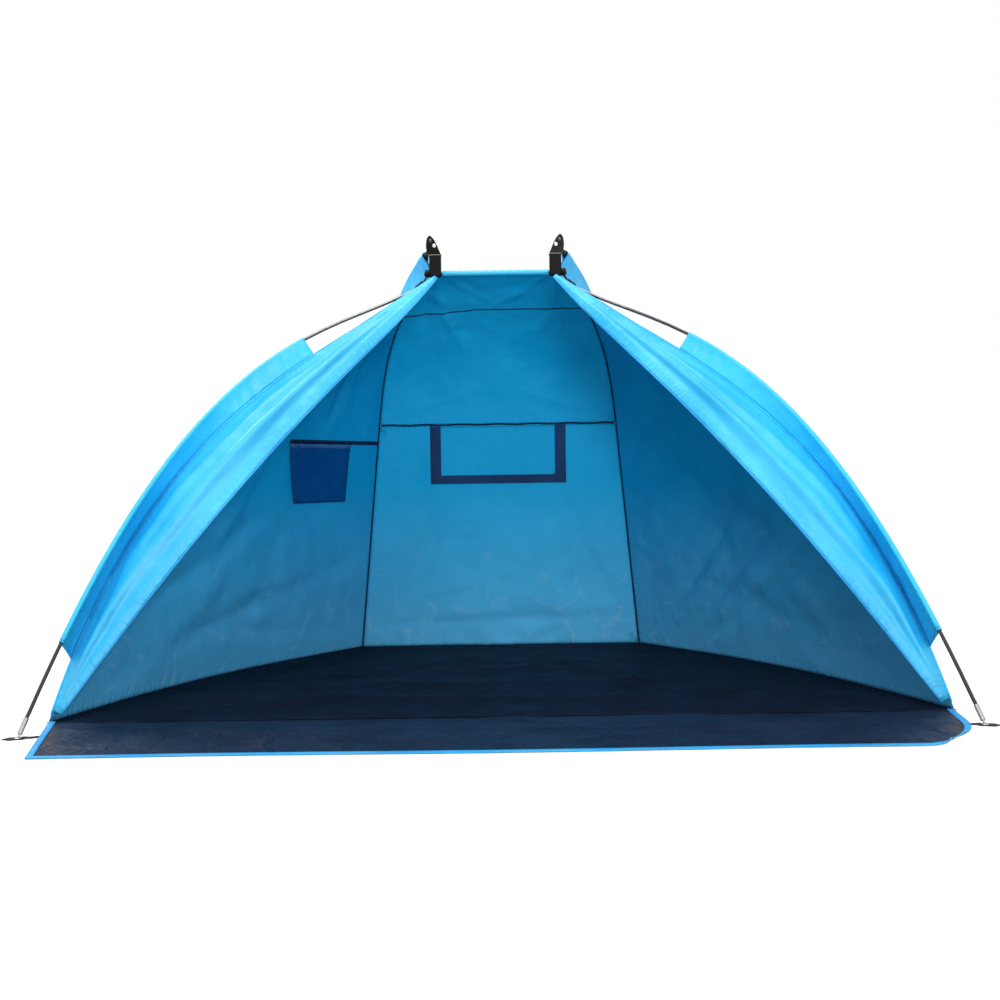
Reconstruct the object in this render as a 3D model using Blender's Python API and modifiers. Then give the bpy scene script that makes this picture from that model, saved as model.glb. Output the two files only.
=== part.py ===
"""A low beach tent: four sprung poles, two moulded hubs joined by a ridge bar, and a sewn fabric shelter.

Metres, +Z up, the open side facing -Y. The origin is on the ground, at the middle of the footprint.
Places are first worked out from the line that joins the two front wall corners, at y = 0, and an
empty then carries the whole tent to the middle of its footprint.
"""

from math import cos, pi, radians, sin

import bmesh
import bpy
from mathutils import Matrix, Vector

# Clearances
touch_gap = 0.0003        # between two pieces that touch
running_gap = 0.0003      # between a turning eye and its pin
cut_overrun = 0.002       # how far a cutter reaches past what it cuts

# Footprint
wall_front_span = 2.18    # between the two front wall corners
wall_back_span = 0.94     # between the two back wall corners
wall_depth = 1.06         # from the front corners back to the rear wall
apron_front_span = 2.00   # the ground flap in front of the door, at its far edge
apron_depth = 0.33
sheet_thickness = 0.0025  # ground sheet, apron and webbing on the ground
binding_width = 0.016     # light blue tape round the apron
binding_thickness = 0.0035

# Roof and rear wall
bar_height = 1.177        # centre of the ridge bar above the ground
bar_setback = 0.62        # ridge bar behind the front wall corners
bar_radius = 0.005
bar_span = 0.320          # between the inner faces of the two hubs
tunnel_radius = 0.0075    # the roof's front hem round the bar
mid_seam_height = 0.75
mid_seam_span = 0.80
rib_end_span = 0.34       # the rear ribs where they reach the hubs
rib_end_setback = 0.655
top_seam_share = 0.71     # where the roof starts, along the upper rib
cloth_thickness = 0.0015
binding_radius = 0.003    # dark piping on the rear ribs and seams
wall_bulge = 0.045        # how far a side wall bellies out between its seams
floor_bow = 0.07          # how far the floor's side edges bow outwards
hem_bow = 0.042           # how far the door's free edges bow outwards

# Front poles
pole_radius = 0.0045
front_foot_span = 2.19
front_foot_forward = 0.15
front_low_handle_span = 1.706    # the handles of the curve that a front pole follows
front_low_handle_setback = 0.559
front_low_handle_height = 1.084
front_high_handle_span = 0.746
front_high_handle_setback = 0.486
front_high_handle_height = 0.98
seam_low_handle_span = 1.956      # the handles of the seam that joins a front sleeve to the canopy
seam_low_handle_setback = 0.315
seam_low_handle_height = 0.62
seam_high_handle_span = 1.322
seam_high_handle_setback = 0.447
seam_high_handle_height = 0.868
seam_top_span = 0.336
seam_top_setback = 0.588
seam_top_height = 1.146
sleeve_shares = (0.065, 0.575)
seam_end_share = 0.955

# Rear poles
rear_foot_span = 1.01
rear_foot_setback = 1.105
rear_low_handle_span = 0.94
rear_low_handle_setback = 1.18
rear_low_handle_height = 0.50
rear_high_handle_span = 0.82
rear_high_handle_setback = 1.15
rear_high_handle_height = 1.20
rear_sleeve_shares = (0.07, 0.94)

# Pole sleeves
sleeve_wall = 0.0012
sleeve_room = 0.0012      # free space round the pole inside its sleeve
sleeve_rings = 23

# Hubs
hub_width = 0.035
hub_depth = 0.024
hub_height = 0.062
hub_corner = 0.003
hub_foot = 0.010          # the hub reaches this far below the ridge bar's centre
bar_seat_depth = 0.012
rim_thickness = 0.0016
rim_overhang = 0.0012
ear_thickness = 0.008
ear_width = 0.043
ear_height = 0.057
rivet_radius = 0.0026
rivet_head_radius = 0.0055
rivet_head_height = 0.0022
rivet_shares = ((-0.05, 0.48), (-0.31, 0.74))

# Arms that hold the poles
socket_radius = 0.0080
socket_length = 0.045
socket_seat = 0.024       # how deep a pole sits in its socket
eye_radius = 0.0115
eye_thickness = 0.012
neck_radius = 0.0030
pin_radius = 0.0040
pin_head_radius = 0.0065
pin_head_height = 0.003
pin_seat_depth = 0.010
tongue_thickness = 0.006
arm_drop = 0.019          # the front pole ends this far below its swivel pin
arm_forward = 0.008       # and this far in front of it

# Feet
ferrule_radius = 0.0058
ferrule_length = 0.038
ferrule_floor = 0.003
spike_radius = 0.0025
spike_length = 0.010
eyelet_radius = 0.0058    # roomy, for the frame tilts on its rear feet
tab_width = 0.026
tab_reach = 0.034         # past the foot, to the pointed tip
strap_width = 0.015

# Rear window
window_width = 0.386
window_height = 0.168
border_width = 0.036
border_thickness = 0.0012
flap_overlap = 0.022      # the outside flap reaches this far past the window
hinge_drop = 0.006        # the flap's hinge line below the seam
hinge_clearance = 0.0015

# Pocket on the left wall, as shares of the wall between the rib and the front seam
pocket_width = 0.28
pocket_height = 0.185
pocket_from_rib = 0.135
pocket_foot_share = 0.82   # how wide its foot is, of its mouth
pocket_mouth = 0.016
pocket_base = 0.006
pocket_skin = 0.0012
pocket_drop = 0.066        # from the mid seam down to its mouth
tape_width = 0.012

# Worked out from the sizes above
wall_front_half = wall_front_span / 2
wall_back_half = wall_back_span / 2
hub_x = bar_span / 2 + hub_width / 2
hub_bottom = bar_height - hub_foot
hub_top = hub_bottom + hub_height
ear_bottom = hub_top + 2 * touch_gap + rim_thickness
eye_middle = bar_span / 2 + hub_width + touch_gap + eye_thickness / 2
seam_inset = binding_radius + touch_gap
panel_inset = seam_inset + touch_gap
cloth_foot = sheet_thickness + touch_gap

front_corner = Vector((-wall_front_half, 0, 0))
back_corner = Vector((-wall_back_half, wall_depth, 0))
apron_corner = Vector((-apron_front_span / 2, -apron_depth, 0))
wall_outward = Vector((-wall_depth, wall_front_half - wall_back_half, 0)).normalized()
swivel = Vector((-eye_middle, bar_setback, bar_height))
front_top = swivel - Vector((0, arm_forward, arm_drop))
front_foot = Vector((-front_foot_span / 2, -front_foot_forward, 0))
rear_foot = Vector((-rear_foot_span / 2, rear_foot_setback, 0))
tongue_back = bar_setback + ear_thickness / 2 + touch_gap + tongue_thickness
rear_top = Vector((-hub_x - hub_width * 0.4, tongue_back + socket_radius * 0.3, ear_bottom + ear_height * 0.28))

rear_reach = (rear_foot - back_corner).normalized().y * tab_reach
plan_shift = -((rear_foot.y + rear_reach) + apron_corner.y) / 2

for old in list(bpy.data.objects):
    bpy.data.objects.remove(old, do_unlink=True)

tent = bpy.data.collections.new("beach_tent")
cutters = bpy.data.collections.new("cutters")
bpy.context.scene.collection.children.link(tent)
bpy.context.scene.collection.children.link(cutters)
cutters.hide_render = True


def material(name, colour, roughness, metallic=0.0):
    made = bpy.data.materials.new(name)
    made.use_nodes = True
    shader = made.node_tree.nodes["Principled BSDF"]
    shader.inputs["Base Color"].default_value = (*colour, 1.0)
    shader.inputs["Roughness"].default_value = roughness
    shader.inputs["Metallic"].default_value = metallic
    return made


sky_cloth = material("sky_polyester", (0.045, 0.44, 0.90), 0.55)
deep_cloth = material("sky_polyester_inside", (0.02, 0.24, 0.52), 0.60)
navy_cloth = material("navy_polyester", (0.012, 0.022, 0.060), 0.60)
webbing = material("black_webbing", (0.012, 0.012, 0.014), 0.85)
black_plastic = material("moulded_black_plastic", (0.010, 0.010, 0.011), 0.30)
glass_fibre = material("black_glass_fibre", (0.018, 0.018, 0.020), 0.35)
bright_steel = material("bright_steel", (0.62, 0.60, 0.56), 0.28, 1.0)


def empty(name, place, parent=None):
    made = bpy.data.objects.new(name, None)
    made.location = place
    made.parent = parent
    tent.objects.link(made)
    return made


ground_frame = empty("tent_frame", (0, plan_shift, 0))


def mirrored(point, side):
    """A point of the left half, or its twin on the right."""
    return Vector((-side * point[0], point[1], point[2]))


hinge_line = Vector((
    0,
    wall_depth + cloth_thickness / 2 + touch_gap + cloth_thickness / 2,
    mid_seam_height - hinge_drop,
))
joint_places = {
    "rear_frame": Vector((0, rear_foot_setback, 0)),
    "front_leg_left": swivel,
    "front_leg_right": mirrored(swivel, 1),
    "window_flap": hinge_line,
}
carriers = {"ground": ground_frame}
carriers["rear_frame"] = empty("rear_foot_line", joint_places["rear_frame"], ground_frame)
for name in ("front_leg_left", "front_leg_right", "window_flap"):
    place = joint_places[name] - joint_places["rear_frame"]
    carriers[name] = empty(name + "_axis", place, carriers["rear_frame"])


def finish(obj, paint, body="rear_frame"):
    """Gives a piece its material and hangs it on the empty that its body turns about."""
    obj.data.materials.clear()
    obj.data.materials.append(paint)
    obj.parent = carriers[body]
    if body in joint_places:
        obj.matrix_parent_inverse = Matrix.Translation(-joint_places[body])
    return obj


def object_from(name, bm, smooth=True):
    bmesh.ops.remove_doubles(bm, verts=bm.verts, dist=1e-6)
    bmesh.ops.recalc_face_normals(bm, faces=bm.faces)
    mesh = bpy.data.meshes.new(name)
    bm.to_mesh(mesh)
    bm.free()
    if smooth:
        mesh.shade_smooth()
        mesh.set_sharp_from_angle(angle=radians(40))
    made = bpy.data.objects.new(name, mesh)
    tent.objects.link(made)
    return made


def skin(name, rows, ring=False, base=False, thickness=None):
    """A surface through rows of points, closed round each row for a ring, with a wall from Solidify."""
    bm = bmesh.new()
    grid = [[bm.verts.new(point) for point in row] for row in rows]
    count = len(grid[0])
    last = count if ring else count - 1
    for low, high in zip(grid, grid[1:]):
        for i in range(last):
            j = (i + 1) % count
            bm.faces.new((low[i], low[j], high[j], high[i]))
    if base:
        bm.faces.new(grid[0])
    made = object_from(name, bm)
    if thickness:
        wall = made.modifiers.new("wall", "SOLIDIFY")
        wall.thickness = thickness
        wall.offset = 0.0
    return made


def rod(name, points, radius, resolution=2):
    """A round rod along a line of points."""
    curve = bpy.data.curves.new(name, "CURVE")
    curve.dimensions = "3D"
    curve.bevel_depth = radius
    curve.bevel_resolution = resolution
    curve.use_fill_caps = True
    spline = curve.splines.new("POLY")
    spline.points.add(len(points) - 1)
    for spot, point in zip(spline.points, points):
        spot.co = (*point, 1.0)
    made = bpy.data.objects.new(name, curve)
    tent.objects.link(made)
    return made


def sheet(name, outline, thickness, smooth_outline=False):
    """A flat outline in X and Y, extruded to its thickness about its own plane, with its foot line kept straight."""
    curve = bpy.data.curves.new(name, "CURVE")
    curve.dimensions = "2D"
    curve.fill_mode = "BOTH"
    curve.extrude = thickness / 2
    if smooth_outline:
        curve.resolution_u = 4
        spline = curve.splines.new("BEZIER")
        spline.bezier_points.add(len(outline) - 1)
        for spot, point in zip(spline.bezier_points, outline):
            spot.co = (point[0], point[1], 0)
            kind = "AUTO" if point[1] else "VECTOR"
            spot.handle_left_type = kind
            spot.handle_right_type = kind
    else:
        spline = curve.splines.new("POLY")
        spline.points.add(len(outline) - 1)
        for spot, point in zip(spline.points, outline):
            spot.co = (point[0], point[1], 0, 1)
    spline.use_cyclic_u = True
    made = bpy.data.objects.new(name, curve)
    tent.objects.link(made)
    return made


def upright(obj, setback):
    """Stands a flat outline up in the X-Z plane at a distance behind the front wall corners."""
    obj.rotation_euler = (pi / 2, 0, 0)
    obj.location = (0, setback, 0)
    return obj


def turned(name, profile, steps=16):
    """A profile of (radius, height) points, from top to bottom, turned about its own Z."""
    bm = bmesh.new()
    spots = [bm.verts.new((radius, 0, height)) for radius, height in profile]
    for first, second in zip(spots, spots[1:]):
        bm.edges.new((first, second))
    mesh = bpy.data.meshes.new(name)
    bm.to_mesh(mesh)
    bm.free()
    made = bpy.data.objects.new(name, mesh)
    tent.objects.link(made)
    screw = made.modifiers.new("turn", "SCREW")
    screw.steps = steps
    screw.render_steps = steps
    screw.use_merge_vertices = True
    screw.merge_threshold = 0.00001
    screw.use_smooth_shade = True
    return made


def along(obj, place, direction):
    """Stands an object's own Z along a direction."""
    obj.location = place
    obj.rotation_euler = direction.to_track_quat("Z", "Y").to_euler()
    return obj


def as_mesh(obj):
    """Turns a curve, or a mesh with modifiers, into a plain mesh under the same name."""
    bpy.context.view_layer.update()
    graph = bpy.context.evaluated_depsgraph_get()
    mesh = bpy.data.meshes.new_from_object(obj.evaluated_get(graph))
    bm = bmesh.new()
    bm.from_mesh(mesh)
    bmesh.ops.remove_doubles(bm, verts=bm.verts, dist=1e-5)
    bmesh.ops.recalc_face_normals(bm, faces=bm.faces)
    bm.to_mesh(mesh)
    bm.free()
    name = obj.name
    place = obj.matrix_world.copy()
    bpy.data.objects.remove(obj, do_unlink=True)
    made = bpy.data.objects.new(name, mesh)
    made.matrix_world = place
    tent.objects.link(made)
    return made


def helper(obj):
    """Moves an object among the cutters, out of the render, and carries it with the tent."""
    tent.objects.unlink(obj)
    cutters.objects.link(obj)
    obj.parent = ground_frame
    obj.hide_render = True
    obj.display_type = "WIRE"
    return obj


def change(obj, other, operation):
    step = obj.modifiers.new(operation.lower(), "BOOLEAN")
    step.operation = operation
    step.solver = "EXACT"
    step.object = helper(other)


def cylinder(name, radius, start, end, sides=16):
    """A cylinder between two points."""
    start = Vector(start)
    end = Vector(end)
    bm = bmesh.new()
    bmesh.ops.create_cone(
        bm, cap_ends=True, segments=sides, radius1=radius, radius2=radius, depth=(end - start).length
    )
    return along(object_from(name, bm), (start + end) / 2, end - start)


def box(name, size, middle, corner=0.0):
    bm = bmesh.new()
    bmesh.ops.create_cube(bm, size=1.0)
    bmesh.ops.scale(bm, vec=size, verts=bm.verts)
    made = object_from(name, bm, smooth=False)
    made.location = middle
    if corner:
        edge = made.modifiers.new("edge", "BEVEL")
        edge.width = corner
        edge.segments = 2
    return made


# Curves that the poles and seams follow, for the left half

def bezier(a, b, c, d, share):
    back = 1 - share
    return a * back**3 + b * (3 * share * back**2) + c * (3 * share**2 * back) + d * share**3


def bowed(a, b, bow, outward, share):
    """A line between two points that bows out to one side."""
    return a.lerp(b, share) + outward * (bow * sin(pi * share))


def front_pole_line(share):
    low = Vector((-front_low_handle_span / 2, front_low_handle_setback, front_low_handle_height))
    high = Vector((-front_high_handle_span / 2, front_high_handle_setback, front_high_handle_height))
    return bezier(front_foot, low, high, front_top, share)


def front_seam(share):
    low = Vector((-seam_low_handle_span / 2, seam_low_handle_setback, seam_low_handle_height))
    high = Vector((-seam_high_handle_span / 2, seam_high_handle_setback, seam_high_handle_height))
    top = Vector((-seam_top_span / 2, seam_top_setback, seam_top_height))
    return bezier(front_corner, low, high, top, share)


def hem_line(share):
    top = Vector((-bar_span / 2, seam_top_setback, seam_top_height))
    inner_corner = front_corner + Vector((binding_width, 0, 0))
    run = (top - inner_corner).normalized()
    return bowed(inner_corner, top, hem_bow, Vector((-run.z, 0, run.x)).normalized(), share)


def floor_side(share):
    """The left side edge of the floor, from the front corner back."""
    return bowed(front_corner, back_corner, floor_bow, wall_outward, share)


def rear_pole_line(share):
    low = Vector((-rear_low_handle_span / 2, rear_low_handle_setback, rear_low_handle_height))
    high = Vector((-rear_high_handle_span / 2, rear_high_handle_setback, rear_high_handle_height))
    return bezier(rear_foot, low, high, rear_top, share)


mid_corner = Vector((-mid_seam_span / 2, wall_depth, mid_seam_height))
lower_rib_share = 0.55    # how much of the rib's run lies below the seam across the back


def upper_rib(share):
    end = Vector((-rib_end_span / 2, rib_end_setback, bar_height))
    low = mid_corner + Vector((mid_seam_span * 0.025, 0, (bar_height - mid_seam_height) * 0.53))
    high = end + Vector((-(mid_seam_span - rib_end_span) * 0.33, (wall_depth - rib_end_setback) * 0.5, -0.13 * (bar_height - mid_seam_height)))
    return bezier(mid_corner, low, high, end, share)


def rib(share):
    if share <= lower_rib_share:
        return back_corner.lerp(mid_corner, share / lower_rib_share)
    return upper_rib((share - lower_rib_share) / (1 - lower_rib_share))


def spaced(start, end, count):
    return [start + (end - start) * i / (count - 1) for i in range(count)]


def clear_of(line, share, run):
    """How far a panel's edge stops from the middle of a seam that it meets along a run."""
    way = (line(share + 0.004) - line(share - 0.004)).normalized()
    return panel_inset / max(way.cross(run).length, 0.3)


def between(a, b, inset_a, inset_b, count, belly=Vector((0, 0, 0))):
    """A row of points from a to b that starts and ends short of them and bellies out in between."""
    run = (b - a).normalized()
    first = a + run * inset_a
    last = b - run * inset_b
    return [first.lerp(last, u) + belly * sin(pi * u) for u in spaced(0, 1, count)]


def flipped(rows, side):
    return [[mirrored(point, side) for point in row] for row in rows]


def left_wall_rows(rows=15, count=9):
    made = []
    for share in spaced(0, seam_end_share, rows):
        front = front_seam(share)
        rear = rib(share)
        front.z = max(front.z, cloth_foot)
        rear.z = max(rear.z, cloth_foot)
        swell = wall_bulge * sin(pi * share) ** 0.5 if share else 0
        belly = wall_outward * max(swell, floor_bow * (1 - share) ** 4)
        run = (rear - front).normalized()
        insets = clear_of(front_seam, share, run), clear_of(rib, share, run)
        made.append(between(front, rear, *insets, count, belly))
    return made


# Hubs, ridge bar and the arms that hold the poles

def ear_outline():
    """A pointed oval that leans outwards, for the left hub, about the foot of the ear."""
    shares = (
        (-0.42, 0.00), (-0.58, 0.25), (-0.60, 0.62), (-0.52, 0.88), (-0.37, 1.00),
        (-0.17, 0.90), (0.08, 0.60), (0.28, 0.25), (0.42, 0.00),
    )
    return [(x * ear_width, z * ear_height) for x, z in shares]


def rivet_places(side):
    for share_x, share_z in rivet_shares:
        yield mirrored((-hub_x + share_x * ear_width, bar_setback, ear_bottom + share_z * ear_height), side)


def make_hub(side_name, side):
    middle = Vector((side * hub_x, bar_setback, hub_bottom + hub_height / 2))
    block = box("hub_block_" + side_name, (hub_width, hub_depth, hub_height), middle, hub_corner)
    inner = side * bar_span / 2
    seat = cylinder(
        "bar_seat_" + side_name, bar_radius + touch_gap,
        (inner - side * cut_overrun, bar_setback, bar_height),
        (inner + side * (bar_seat_depth + touch_gap), bar_setback, bar_height),
    )
    change(block, seat, "DIFFERENCE")
    outer = side * (bar_span / 2 + hub_width)
    pin_hole = cylinder(
        "pin_hole_" + side_name, pin_radius + touch_gap,
        (outer + side * cut_overrun, bar_setback, bar_height),
        (outer - side * (pin_seat_depth + touch_gap), bar_setback, bar_height),
    )
    change(block, pin_hole, "DIFFERENCE")
    finish(block, black_plastic)

    rim_size = (hub_width + 2 * rim_overhang, hub_depth + 2 * rim_overhang, rim_thickness)
    rim_middle = (side * hub_x, bar_setback, hub_top + touch_gap + rim_thickness / 2)
    finish(box("hub_rim_" + side_name, rim_size, rim_middle), bright_steel)

    outline = [(-side * x + side * hub_x, z) for x, z in ear_outline()]
    if side > 0:
        outline.reverse()
    ear = upright(sheet("hub_ear_" + side_name, outline, ear_thickness, smooth_outline=True), bar_setback)
    ear.location.z = ear_bottom
    ear = as_mesh(ear)
    for place in rivet_places(side):
        half = ear_thickness / 2 + cut_overrun
        reach = Vector((0, half, 0))
        hole = cylinder("rivet_hole", rivet_radius + touch_gap, place - reach, place + reach, 12)
        change(ear, hole, "DIFFERENCE")
    finish(ear, black_plastic)


def make_rivets(side_name, side):
    """Domed rivets through the ear and the rear arm's tongue behind it."""
    grip = ear_thickness + touch_gap + tongue_thickness + 2 * touch_gap
    profile = [
        (0, grip / 2 + rivet_head_height),
        (rivet_head_radius * 0.6, grip / 2 + rivet_head_height * 0.8),
        (rivet_head_radius, grip / 2 + rivet_head_height * 0.25),
        (rivet_head_radius, grip / 2),
        (rivet_radius, grip / 2),
        (rivet_radius, -grip / 2),
        (rivet_head_radius, -grip / 2),
        (rivet_head_radius, -grip / 2 - rivet_head_height * 0.25),
        (rivet_head_radius * 0.6, -grip / 2 - rivet_head_height * 0.8),
        (0, -grip / 2 - rivet_head_height),
    ]
    middle = (touch_gap + tongue_thickness) / 2
    for number, place in enumerate(rivet_places(side), 1):
        rivet = turned(f"ear_rivet_{side_name}_{number}", profile, steps=12)
        along(rivet, place + Vector((0, middle, 0)), Vector((0, -1, 0)))
        finish(rivet, bright_steel)


def make_ridge_bar():
    half = bar_span / 2 + bar_seat_depth
    ends = ((-half, bar_setback, bar_height), (half, bar_setback, bar_height))
    finish(cylinder("ridge_bar", bar_radius, *ends), glass_fibre)
    length = bar_span / 2 - touch_gap
    rows = []
    for x in spaced(-length, length, 9):
        ring = []
        for step in range(14):
            turn = 2 * pi * step / 14
            ring.append(Vector((x, bar_setback + tunnel_radius * cos(turn), bar_height + tunnel_radius * sin(turn))))
        rows.append(ring)
    finish(skin("ridge_tunnel", rows, ring=True, thickness=sleeve_wall), sky_cloth)


def make_swivel_pin(side_name, side):
    """The pin in the hub's outer face, in line with the ridge bar, that a front arm turns on."""
    reach = eye_thickness + 2 * touch_gap
    profile = [
        (0, reach + pin_head_height), (pin_head_radius, reach + pin_head_height), (pin_head_radius, reach),
        (pin_radius, reach), (pin_radius, -pin_seat_depth), (0, -pin_seat_depth),
    ]
    pin = turned("swivel_pin_" + side_name, profile)
    outer = side * (bar_span / 2 + hub_width)
    finish(along(pin, (outer, bar_setback, bar_height), Vector((side, 0, 0))), bright_steel)


def make_front_arm(side_name, side):
    """An eye on the swivel pin, with a neck past the pin's head to the front pole's socket."""
    centre = mirrored(swivel, side)
    out = mirrored((front_pole_line(0.98) - front_pole_line(1.0)).normalized(), side)
    root = mirrored(front_top, side)
    half = Vector((eye_thickness / 2, 0, 0))
    arm = cylinder("front_arm_" + side_name, eye_radius, centre - half, centre + half, 20)
    start = root + out * (socket_length - socket_seat - neck_radius)
    below = Vector((0, out.y, out.z)).normalized()
    neck_start = centre + below * (eye_radius - neck_radius)
    neck_end = start + out * neck_radius + below * neck_radius
    change(arm, cylinder("front_neck_" + side_name, neck_radius, neck_start, neck_end, 14), "UNION")
    socket = cylinder("front_socket_" + side_name, socket_radius, start, root + out * socket_length, 14)
    change(arm, socket, "UNION")
    reach = Vector((eye_thickness / 2 + cut_overrun, 0, 0))
    eye = cylinder("front_eye_" + side_name, pin_radius + running_gap, centre - reach, centre + reach, 16)
    change(arm, eye, "DIFFERENCE")
    bore_start = root + out * (socket_length - socket_seat - touch_gap)
    bore_end = root + out * (socket_length + cut_overrun)
    bore = cylinder("front_bore_" + side_name, pole_radius + touch_gap, bore_start, bore_end, 14)
    change(arm, bore, "DIFFERENCE")
    finish(arm, black_plastic, "front_leg_" + side_name)


def make_rear_arm(side_name, side):
    """A tongue riveted behind the ear, with a socket for the rear pole."""
    inner = 0.80
    outline = [(side * hub_x - side * x * inner, z * inner) for x, z in ear_outline()]
    if side > 0:
        outline.reverse()
    arm = upright(sheet("rear_arm_" + side_name, outline, tongue_thickness, smooth_outline=True), 0)
    arm.location.y = bar_setback + ear_thickness / 2 + touch_gap + tongue_thickness / 2
    arm.location.z = ear_bottom + (1 - inner) * ear_height / 2
    arm = as_mesh(arm)
    end = mirrored(rear_top, side)
    out = mirrored((rear_pole_line(0.98) - rear_pole_line(1.0)).normalized(), side)
    root = end - out * socket_radius * 0.55
    socket = cylinder("rear_socket_" + side_name, socket_radius, root, end + out * socket_length, 14)
    change(arm, socket, "UNION")
    bore_start = end + out * (socket_length - socket_seat - touch_gap)
    bore_end = end + out * (socket_length + cut_overrun)
    bore = cylinder("rear_bore_" + side_name, pole_radius + touch_gap, bore_start, bore_end, 14)
    change(arm, bore, "DIFFERENCE")
    for place in rivet_places(side):
        back = Vector((0, ear_thickness / 2 + tongue_thickness + cut_overrun, 0))
        hole = cylinder("tongue_hole", rivet_radius + touch_gap, place, place + back, 12)
        change(arm, hole, "DIFFERENCE")
    finish(arm, black_plastic)


# Poles and their feet

def make_pole(name, line, sleeve, body, side):
    """A rod along its line, straight inside its ferrule and inside its socket, with its bends where its sleeve's are."""
    top = line(1.0)
    into = (line(0.98) - top).normalized()
    lean = (line(0.02) - line(0.0)).normalized()
    foot = line(0.0) + Vector((0, 0, foot_lift(lean)))
    cup = spike_length + ferrule_length
    points = [
        foot + lean * (spike_length + ferrule_floor + touch_gap),
        foot + lean * (cup + pole_radius),
    ]
    for share in spaced(0, sleeve[0], 5)[:-1] + spaced(*sleeve, sleeve_rings) + spaced(sleeve[1], 1, 9)[1:]:
        point = line(share)
        if (point - foot).length > cup + 3 * pole_radius and (point - top).length > socket_length + 3 * pole_radius:
            points.append(point)
    points.append(top + into * (socket_length + pole_radius))
    points.append(top + into * (socket_length - socket_seat))
    finish(rod(name, [mirrored(p, side) for p in points], pole_radius), glass_fibre, body)


def foot_lift(lean):
    """How high the middle of a leaning spike's end stands, so that its edge meets the ground."""
    return spike_radius * (1 - lean.z**2) ** 0.5 + touch_gap / 3


def make_ferrule(name, line, body, side):
    """A metal cup on the pole's end, with a blunt spike."""
    lean = (line(0.02) - line(0.0)).normalized()
    hollow = pole_radius + touch_gap
    rim = spike_length + ferrule_length
    profile = [
        (hollow, rim), (ferrule_radius, rim), (ferrule_radius, spike_length),
        (spike_radius, spike_length), (spike_radius, 0), (0, 0),
    ]
    inside = [(0, spike_length + ferrule_floor), (hollow, spike_length + ferrule_floor)]
    cup = turned(name, inside + profile)
    place = line(0.0) + Vector((0, 0, foot_lift(lean)))
    along(cup, mirrored(place, side), mirrored(lean, side))
    finish(cup, bright_steel, body)


def make_foot_tab(name, anchor, line, body, side):
    """Webbing from the sheet's edge to the foot, ending in a pointed tab with an eyelet."""
    foot = line(0.0)
    out = (foot - anchor).normalized()
    across = Vector((-out.y, out.x, 0))
    half_strap = across * strap_width / 2
    half_tab = across * tab_width / 2
    start = anchor + out * touch_gap
    wide = foot - out * tab_width * 0.6
    far = foot + out * tab_reach * 0.55
    tip = foot + out * tab_reach
    outline = [
        start + half_strap, wide + half_strap, wide + half_tab, far + half_tab, tip,
        far - half_tab, wide - half_tab, wide - half_strap, start - half_strap,
    ]
    outline = [mirrored(p, side) for p in outline]
    if side < 0:
        outline.reverse()
    tab = sheet(name, outline, sheet_thickness)
    tab.location.z = sheet_thickness / 2
    tab = as_mesh(tab)
    reach = Vector((0, 0, sheet_thickness + cut_overrun))
    low = mirrored(foot, side) - reach
    change(tab, cylinder("eyelet", eyelet_radius, low, low + 2 * reach), "DIFFERENCE")
    finish(tab, webbing, body)


def edge_anchor():
    """The point of the apron's side edge that is square to the front foot."""
    run = (apron_corner - front_corner).normalized()
    return front_corner + run * (front_foot - front_corner).dot(run)


# Fabric

def make_ground():
    gap = touch_gap / 2
    side = [(point.x, point.y) for point in (floor_side(share) for share in spaced(0, 1, 13)[1:])]
    left = [(-wall_front_half, gap)] + side
    floor = [(-x, y) for x, y in left] + left[::-1]
    ground = sheet("floor_sheet", floor, sheet_thickness)
    ground.location.z = sheet_thickness / 2
    finish(ground, navy_cloth, "ground")

    run = (apron_corner - front_corner).normalized()
    inward = Vector((-run.y, run.x, 0))
    side_shift = inward * (binding_width + touch_gap)
    slant = run.x / -run.y
    inner_top_x = front_corner.x + side_shift.x + slant * (side_shift.y + gap)
    inner_low_y = apron_corner.y + binding_width + touch_gap
    inner_low_x = front_corner.x + side_shift.x + slant * (side_shift.y - inner_low_y)
    apron = sheet(
        "front_apron",
        [(inner_low_x, inner_low_y), (-inner_low_x, inner_low_y), (-inner_top_x, -gap), (inner_top_x, -gap)],
        sheet_thickness,
    )
    apron.location.z = sheet_thickness / 2
    finish(apron, navy_cloth, "ground")

    edge_x = inward.x * binding_width
    top_in = front_corner.x + edge_x + slant * (inward.y * binding_width + gap)
    low_in_y = apron_corner.y + binding_width
    low_in = front_corner.x + edge_x + slant * (inward.y * binding_width - low_in_y)
    outline = [
        (front_corner.x, -gap), (apron_corner.x, apron_corner.y), (-apron_corner.x, apron_corner.y),
        (-front_corner.x, -gap), (-top_in, -gap), (-low_in, low_in_y), (low_in, low_in_y), (top_in, -gap),
    ]
    binding = sheet("apron_binding", outline, binding_thickness)
    binding.location.z = binding_thickness / 2
    finish(binding, sky_cloth, "ground")


def make_side_wall(side_name, side):
    wall = skin("side_wall_" + side_name, flipped(left_wall_rows(), side), thickness=cloth_thickness)
    finish(wall, deep_cloth)


def make_wing(side_name, side):
    """The crescent between the bowed front seam and the straight hem of the door."""
    rows = []
    for share in spaced(0.03, seam_end_share, 17):
        hem = hem_line(share)
        seam = front_seam(share)
        slack = Vector((0, -1, 0)) * (0.012 * sin(pi * share))
        inset = clear_of(front_seam, share, (hem - seam).normalized())
        rows.append(between(seam, hem, inset, 0, 6, slack))
    wing = skin("wing_" + side_name, flipped(rows, side), thickness=cloth_thickness)
    finish(wing, sky_cloth, "front_leg_" + side_name)


def make_seam_cord(side_name, side):
    points = [front_seam(share) for share in spaced(0.02, seam_end_share, 26)]
    cord = rod("front_seam_" + side_name, [mirrored(p, side) for p in points], binding_radius, 1)
    finish(cord, sky_cloth, "front_leg_" + side_name)


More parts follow.
